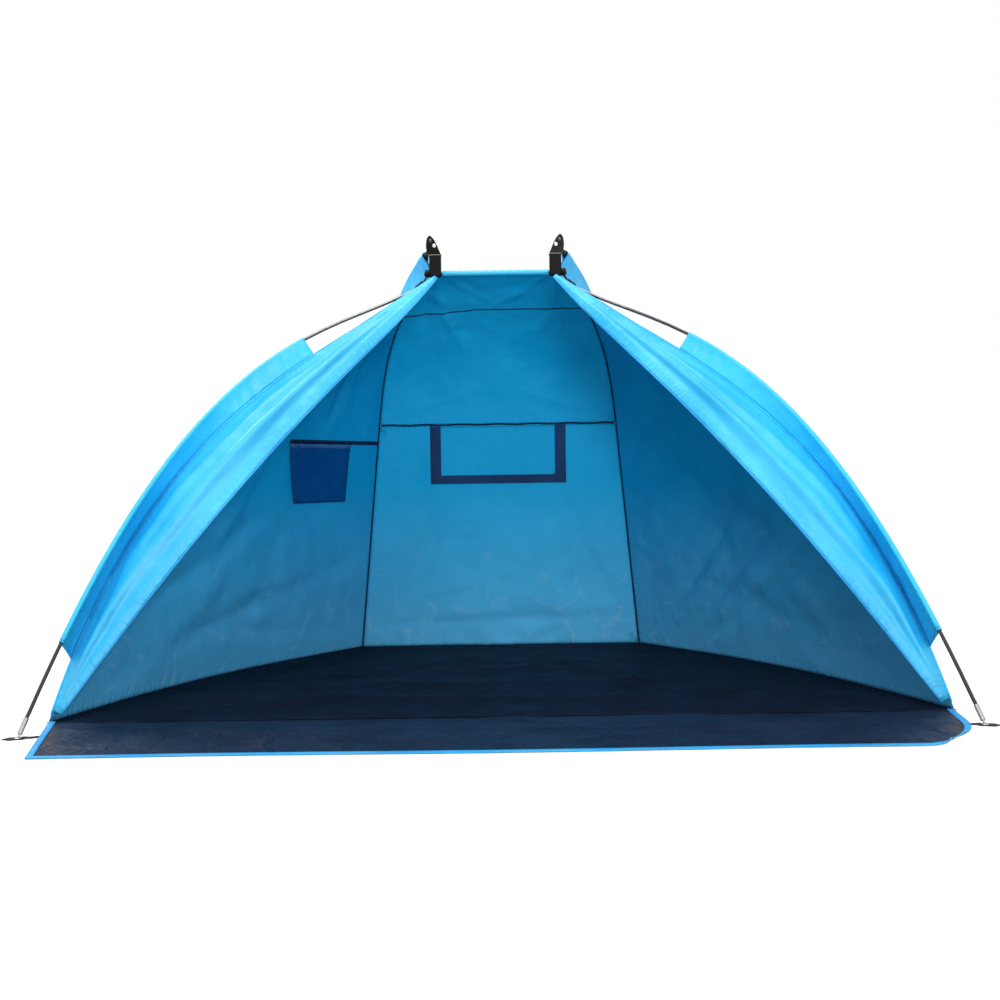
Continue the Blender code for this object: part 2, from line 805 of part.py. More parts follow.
def nearest(line, point):
    """The share at which a line comes nearest to a point."""
    return min(spaced(0, 1, 401), key=lambda share: (line(share) - point).length)


def fin_rows(pole_line, seam_line, shares):
    """Rings of a flat sleeve that holds the pole in its outer edge and narrows to the seam."""
    room = pole_radius + sleeve_room + sleeve_wall / 2
    narrow = (cloth_thickness + sleeve_wall) / 2
    rows = []
    for share in spaced(*shares, sleeve_rings):
        pole = pole_line(share)
        met = nearest(seam_line, pole)
        seam = seam_line(met)
        forward = (pole_line(share + 0.01) - pole_line(share - 0.01)).normalized()
        inward = seam - pole
        inward -= forward * inward.dot(forward)
        seam_run = (seam_line(met + 0.01) - seam_line(met - 0.01)).normalized()
        slant = max(seam_run.cross(inward.normalized()).length, 0.3)
        width = inward.length - (seam_inset + sleeve_wall / 2) / slant
        inward.normalize()
        across = forward.cross(inward)
        ring = []
        for step in range(7):
            turn = radians(60) + radians(240) * step / 6
            ring.append(pole + inward * room * cos(turn) + across * room * sin(turn))
        ring.append(pole + inward * width * 0.5 - across * narrow * 1.6)
        ring.append(pole + inward * width - across * narrow)
        ring.append(pole + inward * width + across * narrow)
        ring.append(pole + inward * width * 0.5 + across * narrow * 1.6)
        rows.append(ring)
    return rows


def make_sleeves(side_name, side):
    rows = fin_rows(front_pole_line, front_seam, sleeve_shares)
    sleeve = skin("front_sleeve_" + side_name, flipped(rows, side), ring=True, thickness=sleeve_wall)
    finish(sleeve, sky_cloth, "front_leg_" + side_name)
    rows = fin_rows(rear_pole_line, rib, rear_sleeve_shares)
    sleeve = skin("rear_sleeve_" + side_name, flipped(rows, side), ring=True, thickness=sleeve_wall)
    finish(sleeve, sky_cloth)


def make_rib(side_name, side):
    points = [rib(share) for share in spaced(0, seam_end_share, 26)]
    points[0].z = cloth_foot + binding_radius
    cord = rod("rib_piping_" + side_name, [mirrored(p, side) for p in points], binding_radius, 1)
    finish(cord, navy_cloth)


def make_back():
    """The rear wall: a flat lower panel cut for the window, and a curved upper one."""
    foot = cloth_foot
    inset = seam_inset
    low_x = wall_back_half - inset
    high_x = mid_seam_span / 2 - inset
    top = mid_seam_height - inset
    sill = top - window_height
    outline = [
        (-low_x, foot), (low_x, foot), (high_x, top), (window_width / 2, top),
        (window_width / 2, sill), (-window_width / 2, sill), (-window_width / 2, top), (-high_x, top),
    ]
    panel = upright(sheet("back_panel_lower", outline, cloth_thickness), wall_depth)
    finish(panel, deep_cloth)

    half_out = window_width / 2 + border_width
    half_in = window_width / 2
    low = sill - border_width * 0.8
    outline = [
        (-half_out, top), (-half_out, low), (half_out, low), (half_out, top),
        (half_in, top), (half_in, sill), (-half_in, sill), (-half_in, top),
    ]
    setback = wall_depth - cloth_thickness / 2 - touch_gap - border_thickness / 2
    border = upright(sheet("window_border", outline, border_thickness), setback)
    finish(border, navy_cloth)

    half = window_width / 2 + flap_overlap
    top = hinge_line.z - hinge_clearance
    low = sill - flap_overlap
    outline = [(-half, low), (half, low), (half, top), (-half, top)]
    flap = upright(sheet("window_flap", outline, cloth_thickness), hinge_line.y)
    finish(flap, sky_cloth, "window_flap")

    finish(skin("back_panel_upper", rib_to_rib(0, top_seam_share, 8), thickness=cloth_thickness), deep_cloth)


def seam_step(share):
    """The share of the upper rib that a panel leaves free beside a seam across the tent."""
    run = upper_rib(share + 0.005) - upper_rib(share - 0.005)
    return panel_inset * 0.01 / (run.y**2 + run.z**2) ** 0.5


def rib_to_rib(start, end, count):
    """Rows across the tent between the two upper ribs, short of a seam at either end."""
    rows = []
    for share in spaced(start + seam_step(start), end - seam_step(end), count):
        left = upper_rib(share)
        inset = clear_of(upper_rib, share, Vector((1, 0, 0)))
        rows.append(between(left, mirrored(left, 1), inset, inset, 9))
    return rows


def make_roof():
    rows = rib_to_rib(top_seam_share, seam_end_share, 6)
    edge = bar_setback + tunnel_radius + sleeve_wall / 2 + touch_gap
    half = bar_span / 2 - seam_inset
    rows.append([Vector((x, edge, bar_height)) for x in spaced(-half, half, 9)])
    finish(skin("roof_panel", rows, thickness=cloth_thickness), deep_cloth)


def make_cross_seams():
    half = mid_seam_span / 2 - seam_inset - binding_radius
    ends = ((-half, wall_depth, mid_seam_height), (half, wall_depth, mid_seam_height))
    finish(rod("back_seam_piping", [Vector(end) for end in ends], binding_radius, 1), navy_cloth)
    left = upper_rib(top_seam_share)
    short = Vector((seam_inset + binding_radius, 0, 0))
    finish(rod("roof_seam_piping", [left + short, mirrored(left, 1) - short], binding_radius, 1), navy_cloth)


def wall_level(height):
    """The line that the left wall makes at one height, from the rib forwards."""
    rows = left_wall_rows()
    level = []
    for column in range(len(rows[0])):
        for low, high in zip(rows, rows[1:]):
            if low[column].z <= height <= high[column].z:
                share = (height - low[column].z) / (high[column].z - low[column].z)
                level.append(low[column].lerp(high[column], share))
                break
    return level[::-1]


def wall_frame(height, from_rib):
    """A point of the left wall at a height and a distance from the rib, and the level way into the tent."""
    level = wall_level(height)
    walked = 0.0
    for first, second in zip(level, level[1:]):
        step = (second - first).length
        if walked + step >= from_rib:
            break
        walked += step
    run = (second - first).normalized()
    return first + run * (from_rib - walked), Vector((0, 0, 1)).cross(run)


pocket_top_height = mid_seam_height - pocket_drop
wall_clearance = cloth_thickness / 2 + touch_gap + pocket_skin / 2 + wall_bulge / 68


def off_wall(height, walked, distance):
    """A point at a height, a way along the left wall and a distance into the tent from it."""
    spot, inward = wall_frame(height, walked)
    return spot + inward * distance


def make_pocket():
    """The pocket's front, its two sides and its base, sewn to the left wall and open at the top."""
    levels = 7
    heights = spaced(pocket_top_height - pocket_height, pocket_top_height, levels)
    depths = spaced(pocket_base, pocket_mouth, levels)
    near = pocket_from_rib
    far = pocket_from_rib + pocket_width
    ends = spaced(near + pocket_width * pocket_foot_share, far, levels)
    skin_step = pocket_skin + touch_gap

    def panel(name, rows):
        finish(skin(name, rows, thickness=pocket_skin), navy_cloth)

    panel("pocket_front", [
        [off_wall(height, walked, wall_clearance + depth) for walked in spaced(near, end, 7)]
        for height, depth, end in zip(heights, depths, ends)
    ])
    starts = [near + 2 * pocket_skin] * levels
    for name, line in (("pocket_side_rear", starts), ("pocket_side_front", ends)):
        panel(name, [
            [
                off_wall(height, end - pocket_skin, wall_clearance),
                off_wall(height, end - pocket_skin, wall_clearance + depth - skin_step),
            ]
            for height, depth, end in zip(heights, depths, line)
        ])
    low = heights[0] + pocket_skin
    panel("pocket_base", [
        [off_wall(low, walked, wall_clearance), off_wall(low, walked, wall_clearance + pocket_base - skin_step)]
        for walked in spaced(near + 2 * skin_step, ends[0] - 2 * skin_step, 7)
    ])
    tape_low = pocket_top_height + touch_gap * 2
    panel("pocket_tape", [
        [off_wall(height, walked, wall_clearance) for walked in spaced(seam_inset, far, 19)]
        for height in (tape_low, tape_low + tape_width)
    ])


make_ridge_bar()
make_ground()
make_back()
make_roof()
make_cross_seams()
make_pocket()
for side_name, side in (("left", -1), ("right", 1)):
    leg = "front_leg_" + side_name
    make_hub(side_name, side)
    make_rivets(side_name, side)
    make_swivel_pin(side_name, side)
    make_front_arm(side_name, side)
    make_rear_arm(side_name, side)
    make_pole("front_pole_" + side_name, front_pole_line, sleeve_shares, leg, side)
    make_pole("rear_pole_" + side_name, rear_pole_line, rear_sleeve_shares, "rear_frame", side)
    make_ferrule("front_ferrule_" + side_name, front_pole_line, leg, side)
    make_ferrule("rear_ferrule_" + side_name, rear_pole_line, "rear_frame", side)
    make_foot_tab("front_foot_tab_" + side_name, edge_anchor(), front_pole_line, leg, side)
    make_foot_tab("rear_foot_tab_" + side_name, back_corner, rear_pole_line, "ground", side)
    make_side_wall(side_name, side)
    make_wing(side_name, side)
    make_seam_cord(side_name, side)
    make_sleeves(side_name, side)
    make_rib(side_name, side)
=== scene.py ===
# %% [markdown]
# A low beach tent, seen from its open side. Its moving frame is already packed: hubs, arms,
# rods, ferrules and rivets come from there and only get their finish here. Everything sewn is
# made again in this file, because thin cloth with folds, piping and stitches is what the eye
# reads first on a tent.

# %% Load the frame
from math import cos, exp, pi, radians, sin

import bmesh
import bpy
from mathutils import Matrix, Vector, noise


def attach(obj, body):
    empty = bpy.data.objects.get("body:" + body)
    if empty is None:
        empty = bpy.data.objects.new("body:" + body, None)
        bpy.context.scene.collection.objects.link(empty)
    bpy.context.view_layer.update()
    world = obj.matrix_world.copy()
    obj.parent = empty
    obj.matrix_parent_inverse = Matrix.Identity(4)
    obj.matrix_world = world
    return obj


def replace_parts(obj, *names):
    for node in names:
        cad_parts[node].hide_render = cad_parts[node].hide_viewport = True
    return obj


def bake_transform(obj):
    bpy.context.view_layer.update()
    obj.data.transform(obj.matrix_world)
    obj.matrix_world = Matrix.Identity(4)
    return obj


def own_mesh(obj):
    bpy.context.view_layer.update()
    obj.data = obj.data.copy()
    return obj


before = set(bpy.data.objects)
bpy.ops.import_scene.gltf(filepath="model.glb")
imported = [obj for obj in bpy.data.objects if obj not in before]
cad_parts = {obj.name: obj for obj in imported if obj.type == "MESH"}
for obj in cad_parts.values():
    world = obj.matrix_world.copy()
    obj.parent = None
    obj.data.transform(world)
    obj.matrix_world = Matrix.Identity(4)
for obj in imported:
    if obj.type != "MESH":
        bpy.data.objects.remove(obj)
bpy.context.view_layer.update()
print("nodes in the frame:", len(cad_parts))

# %% [markdown]
# Colours are written as sRGB hex, as a picker shows them, and one function turns them linear.
# One more function adds a shader node with its settings and its links, so that each finish
# below reads as a list of what is mixed into it.

# %% Colour and node helpers


def paint(code):
    """A hex colour as the linear numbers that a shader reads."""
    shares = [int(code[i:i + 2], 16) / 255 for i in (1, 3, 5)]
    return (*(c / 12.92 if c <= 0.04045 else ((c + 0.055) / 1.055) ** 2.4 for c in shares), 1.0)


def add(tree, kind, inputs=None, **settings):
    """A node with its settings, its numbers and the nodes or sockets that feed it."""
    node = tree.nodes.new("ShaderNode" + kind)
    for key, value in settings.items():
        setattr(node, key, value)
    for key, value in (inputs or {}).items():
        if isinstance(value, bpy.types.Node):
            tree.links.new(value.outputs[0], node.inputs[key])
        elif isinstance(value, bpy.types.NodeSocket):
            tree.links.new(value, node.inputs[key])
        else:
            node.inputs[key].default_value = value
    return node


def new_finish(name):
    made = bpy.data.materials.new(name)
    made.use_nodes = True
    tree = made.node_tree
    return made, tree, tree.nodes["Principled BSDF"], add(tree, "TexCoord")


# %% [markdown]
# The canopy is plain-woven polyester taffeta with a silver-blue coating on its inner side. Its
# threads lie 0.2 mm apart, too fine for a picture of a two-metre tent, so they are drawn 1.2 mm
# apart. The cloth is a little mottled, it has small crinkles from the bag it was packed in, and
# a row of stitches runs 4 mm inside each sewn edge. Each cloth piece carries two numbers for
# that: how far a point lies from the sewn edge, and how far along it. The same two numbers draw
# the short puckers that the thread pulls into the cloth beside a seam.

# %% Woven polyester


def woven(name, colour, pale, thread, roughness=0.5, crinkle=0.5, pitch=0.0012, painted_sheen=0.0, specular=0.3):
    made, tree, shader, place = new_finish(name)
    mottle = add(tree, "TexNoise", {"Vector": place.outputs["Object"], "Scale": 6.0, "Detail": 5.0})
    spread = add(tree, "MapRange", {"Value": mottle.outputs["Fac"], "From Min": 0.35, "From Max": 0.68})
    tone = add(tree, "Mix", {0: spread, 6: paint(colour), 7: paint(pale)}, data_type="RGBA")
    # Painted sheen: towards the ground the colour turns a pale blue, fading out 0.55 m up, with paler ridged
    # lines in it. It stands in for light that the coating catches near the floor.
    if painted_sheen:
        level = add(tree, "SeparateXYZ", {0: place.outputs["Object"]})
        low = add(
            tree, "MapRange",
            {"Value": level.outputs["Z"], "From Max": 0.55, "To Min": painted_sheen, "To Max": 0.0},
        )
        lines = add(
            tree, "TexNoise", {
                "Vector": place.outputs["Object"], "Scale": 7.0, "Detail": 3.0, "Distortion": 0.5,
                "Offset": 1.0,
            },
            noise_type="RIDGED_MULTIFRACTAL", normalize=False,
        )
        sharp = add(tree, "MapRange", {"Value": lines.outputs["Fac"], "From Min": 1.38, "From Max": 1.78})
        shine = add(tree, "Math", {0: sharp, 1: low}, operation="MULTIPLY")
        share = add(tree, "Math", {0: shine, 1: low}, operation="ADD", use_clamp=True)
        # The pale blue of the painted sheen and its painted crease highlights.
        tone = add(tree, "Mix", {0: share, 6: tone.outputs[2], 7: paint("#76B2D6")}, data_type="RGBA")
    edge = add(tree, "Attribute", attribute_name="edge")
    along = add(tree, "Attribute", attribute_name="along")
    near = add(tree, "Math", {0: edge.outputs["Fac"], 1: 0.004, 2: 0.0006}, operation="COMPARE")
    beat = add(tree, "Math", {0: along.outputs["Fac"], 1: 250.0}, operation="MULTIPLY")
    phase = add(tree, "Math", {0: beat}, operation="FRACT")
    dash = add(tree, "Math", {0: phase, 1: 0.35}, operation="GREATER_THAN")
    stitch = add(tree, "Math", {0: near, 1: dash}, operation="MULTIPLY")
    sewn = add(tree, "Mix", {0: stitch, 6: tone.outputs[2], 7: paint(thread)}, data_type="RGBA")
    tree.links.new(sewn.outputs[2], shader.inputs["Base Color"])

    scale = 0.314 / pitch
    warp = add(tree, "TexWave", {"Vector": place.outputs["UV"], "Scale": scale}, bands_direction="X")
    weft = add(tree, "TexWave", {"Vector": place.outputs["UV"], "Scale": scale}, bands_direction="Y")
    weave = add(tree, "Math", {0: warp.outputs["Fac"], 1: weft.outputs["Fac"]}, operation="MULTIPLY")
    raised = add(tree, "Math", {0: weave, 1: stitch}, operation="ADD")
    fine = add(tree, "Bump", {"Strength": 0.25, "Distance": 0.0003, "Height": raised})
    small = add(
        tree, "TexNoise",
        {
            "Vector": place.outputs["Object"], "Scale": 26.0, "Detail": 3.0, "Roughness": 0.55,
            "Distortion": 0.8,
        },
    )
    crumple = add(
        tree, "Bump",
        {
            "Strength": 0.7, "Distance": 0.006 * crinkle, "Height": small.outputs["Fac"],
            "Normal": fine.outputs["Normal"],
        },
    )
    packed = add(
        tree, "TexNoise",
        {
            "Vector": place.outputs["Object"], "Scale": 3.0, "Detail": 3.0, "Roughness": 0.6,
            "Distortion": 0.3, "Offset": 1.0,
        },
        noise_type="RIDGED_MULTIFRACTAL", normalize=False,
    )
    creased = add(
        tree, "Bump",
        {
            "Strength": 0.7, "Distance": 0.006 * crinkle, "Height": packed.outputs["Fac"],
            "Normal": crumple.outputs["Normal"],
        },
    )
    uneven = add(tree, "Math", {0: mottle.outputs["Fac"], 1: 60.0}, operation="MULTIPLY")
    turns = add(tree, "Math", {0: along.outputs["Fac"], 1: 300.0, 2: uneven}, operation="MULTIPLY_ADD")
    wave = add(tree, "Math", {0: turns}, operation="SINE")
    fade = add(
        tree, "MapRange",
        {"Value": edge.outputs["Fac"], "From Max": 0.035, "To Min": 1.0, "To Max": 0.0},
    )
    drawn = add(tree, "Math", {0: wave, 1: fade}, operation="MULTIPLY")
    pucker = add(
        tree, "Bump",
        {"Strength": 0.6, "Distance": 0.0010, "Height": drawn, "Normal": creased.outputs["Normal"]},
    )
    tree.links.new(pucker.outputs["Normal"], shader.inputs["Normal"])
    worn = add(tree, "MapRange", {
        "Value": mottle.outputs["Fac"], "To Min": roughness - 0.06, "To Max": roughness + 0.08,
    })
    tree.links.new(worn.outputs[0], shader.inputs["Roughness"])
    shader.inputs["Specular IOR Level"].default_value = specular
    return made


sky_outside = woven("sky_polyester_taffeta", "#1AABDF", "#34BAEA", "#1F86C4", roughness=0.42, specular=0.6)
sky_inside = woven(
    "coated_polyester_inner_side", "#0CA4DC", "#18AADF", "#0B3F66", roughness=0.55, painted_sheen=0.42, specular=0.08,
)
# The inside of the side walls is a darker copy of the coated inner side: painted shade for the walls' inner
# faces.
painted_shade_inside = woven(
    "coated_polyester_side_wall_painted_shade", "#038FC8", "#0896CE", "#07304F", roughness=0.45, painted_sheen=0.36, specular=0.2,
)
sleeve_cloth = woven("sky_polyester_sleeve", "#1AB2EC", "#2EBEF2", "#1C7FBE", roughness=0.38, specular=0.6)
hem_cloth = woven("light_blue_hem_tape", "#1C8CCB", "#38A4DC", "#1B78B8", roughness=0.6, pitch=0.002)
# The floor is a darker copy of the apron's navy cloth: painted shade under the roof.
painted_shade_ground_cloth = woven(
    "navy_coated_ground_sheet_painted_shade", "#070E1B", "#0C162A", "#060C18", roughness=0.6, crinkle=1.6, specular=0.06,
)
apron_finish = woven(
    "navy_coated_apron", "#0A1528", "#122037", "#0A1424", roughness=0.45, crinkle=1.6, specular=0.12,
)
navy_tape = woven(
    "navy_binding_tape", "#0C1C3A", "#12244A", "#2B3B66", roughness=0.7, pitch=0.002, crinkle=0.2,
    specular=0.1,
)
border_tape = woven(
    "navy_window_border", "#17365E", "#1F4272", "#3B5F92", roughness=0.7, pitch=0.002, crinkle=0.3,
    specular=0.1,
)
pocket_cloth = woven("navy_pocket_polyester", "#004484", "#04508F", "#04182F", roughness=0.5, specular=0.1)
print("cloth finishes:", len(bpy.data.materials))

# %% [markdown]
# Webbing is woven far coarser than the canopy: black polyester ribs about 2 mm wide, dull and a
# little dusty. It gets its own ribs across the strap, and a thin pale dusting of sand.

# %% Webbing
webbing, tree, shader, place = new_finish("black_woven_webbing")
ribs = add(
    tree, "TexWave", {"Vector": place.outputs["UV"], "Scale": 150.0, "Distortion": 0.6},
    bands_direction="Y",
)
cords = add(tree, "TexWave", {"Vector": place.outputs["UV"], "Scale": 260.0}, bands_direction="X")
dust = add(tree, "TexNoise", {"Vector": place.outputs["Object"], "Scale": 90.0, "Detail": 6.0})
thin_dust = add(tree, "MapRange", {"Value": dust.outputs["Fac"], "From Min": 0.5, "From Max": 0.9})
tone = add(tree, "Mix", {0: thin_dust, 6: paint("#121316"), 7: paint("#3A3833")}, data_type="RGBA")
tree.links.new(tone.outputs[2], shader.inputs["Base Color"])
height = add(tree, "Math", {0: ribs.outputs["Fac"], 1: cords.outputs["Fac"]}, operation="ADD")
bump = add(tree, "Bump", {"Strength": 0.7, "Distance": 0.0006, "Height": height})
tree.links.new(bump.outputs["Normal"], shader.inputs["Normal"])
shader.inputs["Roughness"].default_value = 0.85
print("webbing ribs:", webbing.name)

# %% [markdown]
# The hubs are glass-filled nylon, moulded black. The block has the fine matt grain of an etched
# mould, while the ear above it comes from a polished half of the mould and shines.

# %% Moulded plastics and metals


def moulded(name, colour, scuffed, roughness, grain, coat=0.0):
    made, tree, shader, place = new_finish(name)
    pits = add(tree, "TexNoise", {"Vector": place.outputs["Object"], "Scale": 900.0, "Detail": 2.0})
    scuff = add(
        tree, "TexNoise",
        {"Vector": place.outputs["Object"], "Scale": 60.0, "Detail": 8.0, "Roughness": 0.7},
    )
    rare = add(tree, "MapRange", {"Value": scuff.outputs["Fac"], "From Min": 0.56, "From Max": 0.72})
    tone = add(tree, "Mix", {0: rare, 6: paint(colour), 7: paint(scuffed)}, data_type="RGBA")
    tree.links.new(tone.outputs[2], shader.inputs["Base Color"])
    rough = add(tree, "MapRange", {
        "Value": rare, "To Min": roughness, "To Max": min(roughness + 0.15, 1.0),
    })
    tree.links.new(rough.outputs[0], shader.inputs["Roughness"])
    bump = add(tree, "Bump", {"Strength": grain, "Distance": 0.0001, "Height": pits.outputs["Fac"]})
    tree.links.new(bump.outputs["Normal"], shader.inputs["Normal"])
    shader.inputs["Coat Weight"].default_value = coat
    shader.inputs["Specular IOR Level"].default_value = 0.12
    return made


hub_plastic = moulded("matt_moulded_nylon", "#030304", "#0E0E10", 0.5, 0.3)
ear_plastic = moulded("polished_moulded_nylon", "#020203", "#08080A", 0.25, 0.03, coat=0.08)
arm_plastic = moulded("satin_moulded_nylon", "#060607", "#141416", 0.4, 0.2)
tan_nylon = moulded("light_tan_nylon", "#8E8370", "#766D5E", 0.5, 0.4)


def metal(name, colour, darker, roughness):
    made, tree, shader, place = new_finish(name)
    marks = add(tree, "TexNoise", {"Vector": place.outputs["Object"], "Scale": 350.0, "Detail": 6.0})
    tone = add(tree, "Mix", {0: marks.outputs["Fac"], 6: paint(colour), 7: paint(darker)}, data_type="RGBA")
    tree.links.new(tone.outputs[2], shader.inputs["Base Color"])
    rough = add(tree, "MapRange", {
        "Value": marks.outputs["Fac"], "To Min": roughness - 0.06, "To Max": roughness + 0.12,
    })
    tree.links.new(rough.outputs[0], shader.inputs["Roughness"])
    bump = add(tree, "Bump", {"Strength": 0.2, "Distance": 0.0001, "Height": marks.outputs["Fac"]})
    tree.links.new(bump.outputs["Normal"], shader.inputs["Normal"])
    shader.inputs["Metallic"].default_value = 1.0
    return made


plated_steel = metal("zinc_plated_steel", "#E6E4DE", "#C4C0B6", 0.25)
dull_steel = metal("oiled_steel_rivet", "#5C5850", "#3E3A34", 0.35)
aluminium = metal("drawn_aluminium_ferrule", "#C9C8C4", "#9E9C96", 0.35)

# %% [markdown]
# The rods are pultruded glass fibre, black with a fine uneven grain under a smooth skin, and the
# light draws one bright line down each rod.

# %% Glass-fibre rods
rod_black, tree, shader, place = new_finish("black_glass_fibre_rod")
grain = add(tree, "TexNoise", {"Vector": place.outputs["Object"], "Scale": 240.0, "Detail": 4.0})
tone = add(
    tree, "Mix", {0: grain.outputs["Fac"], 6: paint("#0D0D0F"), 7: paint("#26262A")},
    data_type="RGBA",
)
tree.links.new(tone.outputs[2], shader.inputs["Base Color"])
bump = add(tree, "Bump", {"Strength": 0.15, "Distance": 0.0001, "Height": grain.outputs["Fac"]})
tree.links.new(bump.outputs["Normal"], shader.inputs["Normal"])
shader.inputs["Roughness"].default_value = 0.3
shader.inputs["Coat Weight"].default_value = 0.3
print("all finishes:", len(bpy.data.materials))

# %% [markdown]
# The camera stands a little above the ground in front of the door, as in the picture: 2.95 m
# before the middle of the footprint, 0.59 m up, looking very slightly down and rolled by less
# than a degree. It comes first, so that everything after it can be checked through it.

# %% Camera
eye = Vector((0.003, -2.9469, 0.588))
pitch, yaw, roll = (radians(angle) for angle in (-1.5, 0.02, -0.82))
ahead = Vector((sin(yaw) * cos(pitch), cos(yaw) * cos(pitch), sin(pitch)))
level = Vector((cos(yaw), -sin(yaw), 0))
upward = level.cross(ahead)
right = level * cos(roll) + upward * sin(roll)
above = upward * cos(roll) - level * sin(roll)
lens = bpy.data.cameras.new("camera")
lens.lens = 38.34
lens.sensor_width = 36.0
camera = bpy.data.objects.new("camera", lens)
turned = Matrix((right, above, -ahead)).transposed().to_4x4()
camera.matrix_world = Matrix.Translation(eye) @ turned
bpy.context.scene.collection.objects.link(camera)
bpy.context.scene.camera = camera
print("camera at", [round(c, 3) for c in eye])

# %% [markdown]
# Every seam of the tent follows a line in space. The front rod, the seam of its sleeve, the free
# hem of the door, the rear rod and the rear rib are written once, for the left half, and
# mirrored for the right. A panel is then only a surface between two of these lines.

# %% Lines that the rods and seams follow
SETBACK = -0.400919     # the line through the two front wall corners, from the middle of the plan


def spot(x, y, z):
    """A point given from the line through the front wall corners."""
    return Vector((x, y + SETBACK, z))


def bezier(a, b, c, d, share):
    back = 1 - share
    return a * back**3 + b * (3 * share * back**2) + c * (3 * share**2 * back) + d * share**3


REAR = 1.06             # the rear wall, from the same line
SEAM_HEIGHT = 0.75      # the seam across the rear wall, above the window
FRONT_CORNER = spot(-1.09, 0, 0)
BACK_CORNER = spot(-0.47, REAR, 0)
MID_CORNER = spot(-0.40, REAR, SEAM_HEIGHT)
FRONT_FOOT = spot(-1.095, -0.15, 0)
REAR_FOOT = spot(-0.505, 1.105, 0)
BAR_HEIGHT = 1.177
BAR_SETBACK = 0.62
BAR_HALF = 0.16
ROOF_SEAM = 0.71        # where the roof starts, along the upper rib
OUTWARD = Vector((-1.06, 0.62, 0)).normalized()


def front_pole(share):
    return bezier(
        FRONT_FOOT, spot(-0.853, 0.559, 1.084), spot(-0.373, 0.486, 0.98),
        spot(-0.2013, 0.612, 1.158), share,
    )


def front_seam(share):
    return bezier(
        FRONT_CORNER, spot(-0.978, 0.315, 0.62), spot(-0.661, 0.447, 0.868), spot(-0.168, 0.588, 1.146),
        share,
    )


def hem_line(share):
    start = FRONT_CORNER + Vector((0.016, 0, 0))
    top = spot(-BAR_HALF, 0.588, 1.146)
    run = (top - start).normalized()
    return start.lerp(top, share) + Vector((-run.z, 0, run.x)).normalized() * (0.042 * sin(pi * share))


def rear_pole(share):
    return bezier(
        REAR_FOOT, spot(-0.47, 1.18, 0.50), spot(-0.41, 1.15, 1.20),
        spot(-0.1915, 0.6327, 1.2472), share,
    )


def upper_rib(share):
    return bezier(
        MID_CORNER, spot(-0.38, REAR, 0.976), spot(-0.3218, 0.8575, 1.1215), spot(-0.17, 0.655, 1.177),
        share,
    )


def rib(share):
    if share <= 0.55:
        return BACK_CORNER.lerp(MID_CORNER, share / 0.55)
    return upper_rib((share - 0.55) / 0.45)


def floor_side(share):
    return FRONT_CORNER.lerp(BACK_CORNER, share) + OUTWARD * (0.07 * sin(pi * share))


def on_side(point, side):
    """A point of the left half, or its twin on the right."""
    return Vector((-side * point.x, point.y, point.z))


rod_length = sum((front_pole((i + 1) / 60) - front_pole(i / 60)).length for i in range(60))
print("front rod, foot to hub:", round(rod_length, 3), "m")

# %% [markdown]
# Cloth is made in three steps. A grid is laid flat, and its UV map is stretched to the panel's
# real size, so that the weave has one scale everywhere. Each vertex then moves to its place on
# the surface between two seams, plus a small height for folds, along the surface's normal. A
# Solidify modifier gives the sheet a thickness and its inner side the coated finish. Folds are
# sums of soft creases and noise, because they can be put exactly where the cloth is pulled.

# %% Cloth helpers
INSIDE = Vector((0, 0.25, 0.45))        # cloth faces away from one of these points
BELOW = Vector((0, 0, -9))
BEHIND = Vector((0, 9, 0.6))
LEFT_OF = Vector((-3, 1, 0.6))


def crease(x, y, start, end, width, height):
    """The height at a point of a soft crease that runs between two points of the cloth."""
    run = Vector((end[0] - start[0], end[1] - start[1]))
    step = Vector((x - start[0], y - start[1]))
    share = step.dot(run) / run.length_squared
    if not -0.15 < share < 1.15:
        return 0.0
    off = abs(step.x * run.y - step.y * run.x) / run.length
    fade = sin(pi * min(max((share + 0.15) / 1.3, 0), 1)) ** 0.7
    return height * fade * exp(-((off / width) ** 2))


def ripple(point, scale, height, seed=0.0):
    """Soft uneven waves, the same at each run."""
    return height * noise.fractal(point * scale + Vector((seed, seed * 2, 0)), 1.0, 2.0, 3)


def relief(surface, folds, sign=1.0):
    """A surface with its folds raised along its own normal."""
    def place(u, v):
        base = surface(u, v)
        across = surface(min(u + 0.01, 1), v) - surface(max(u - 0.01, 0), v)
        up = surface(u, min(v + 0.01, 1)) - surface(u, max(v - 0.01, 0))
        normal = across.cross(up)
        if normal.length < 1e-12:
            return base
        return base + normal.normalized() * (sign * folds(u, v, base))
    return place


def length_of(line, steps=24):
    spots = [line(i / steps) for i in range(steps + 1)]
    return sum((b - a).length for a, b in zip(spots, spots[1:]))


def placed(name, bm, finishes):
    """A smooth mesh object in the scene, made from a bmesh that isn't needed any more."""
    mesh = bpy.data.meshes.new(name)
    bm.to_mesh(mesh)
    bm.free()
    mesh.shade_smooth()
    for finish in finishes:
        mesh.materials.append(finish)
    made = bpy.data.objects.new(name, mesh)
    bpy.context.scene.collection.objects.link(made)
    return made


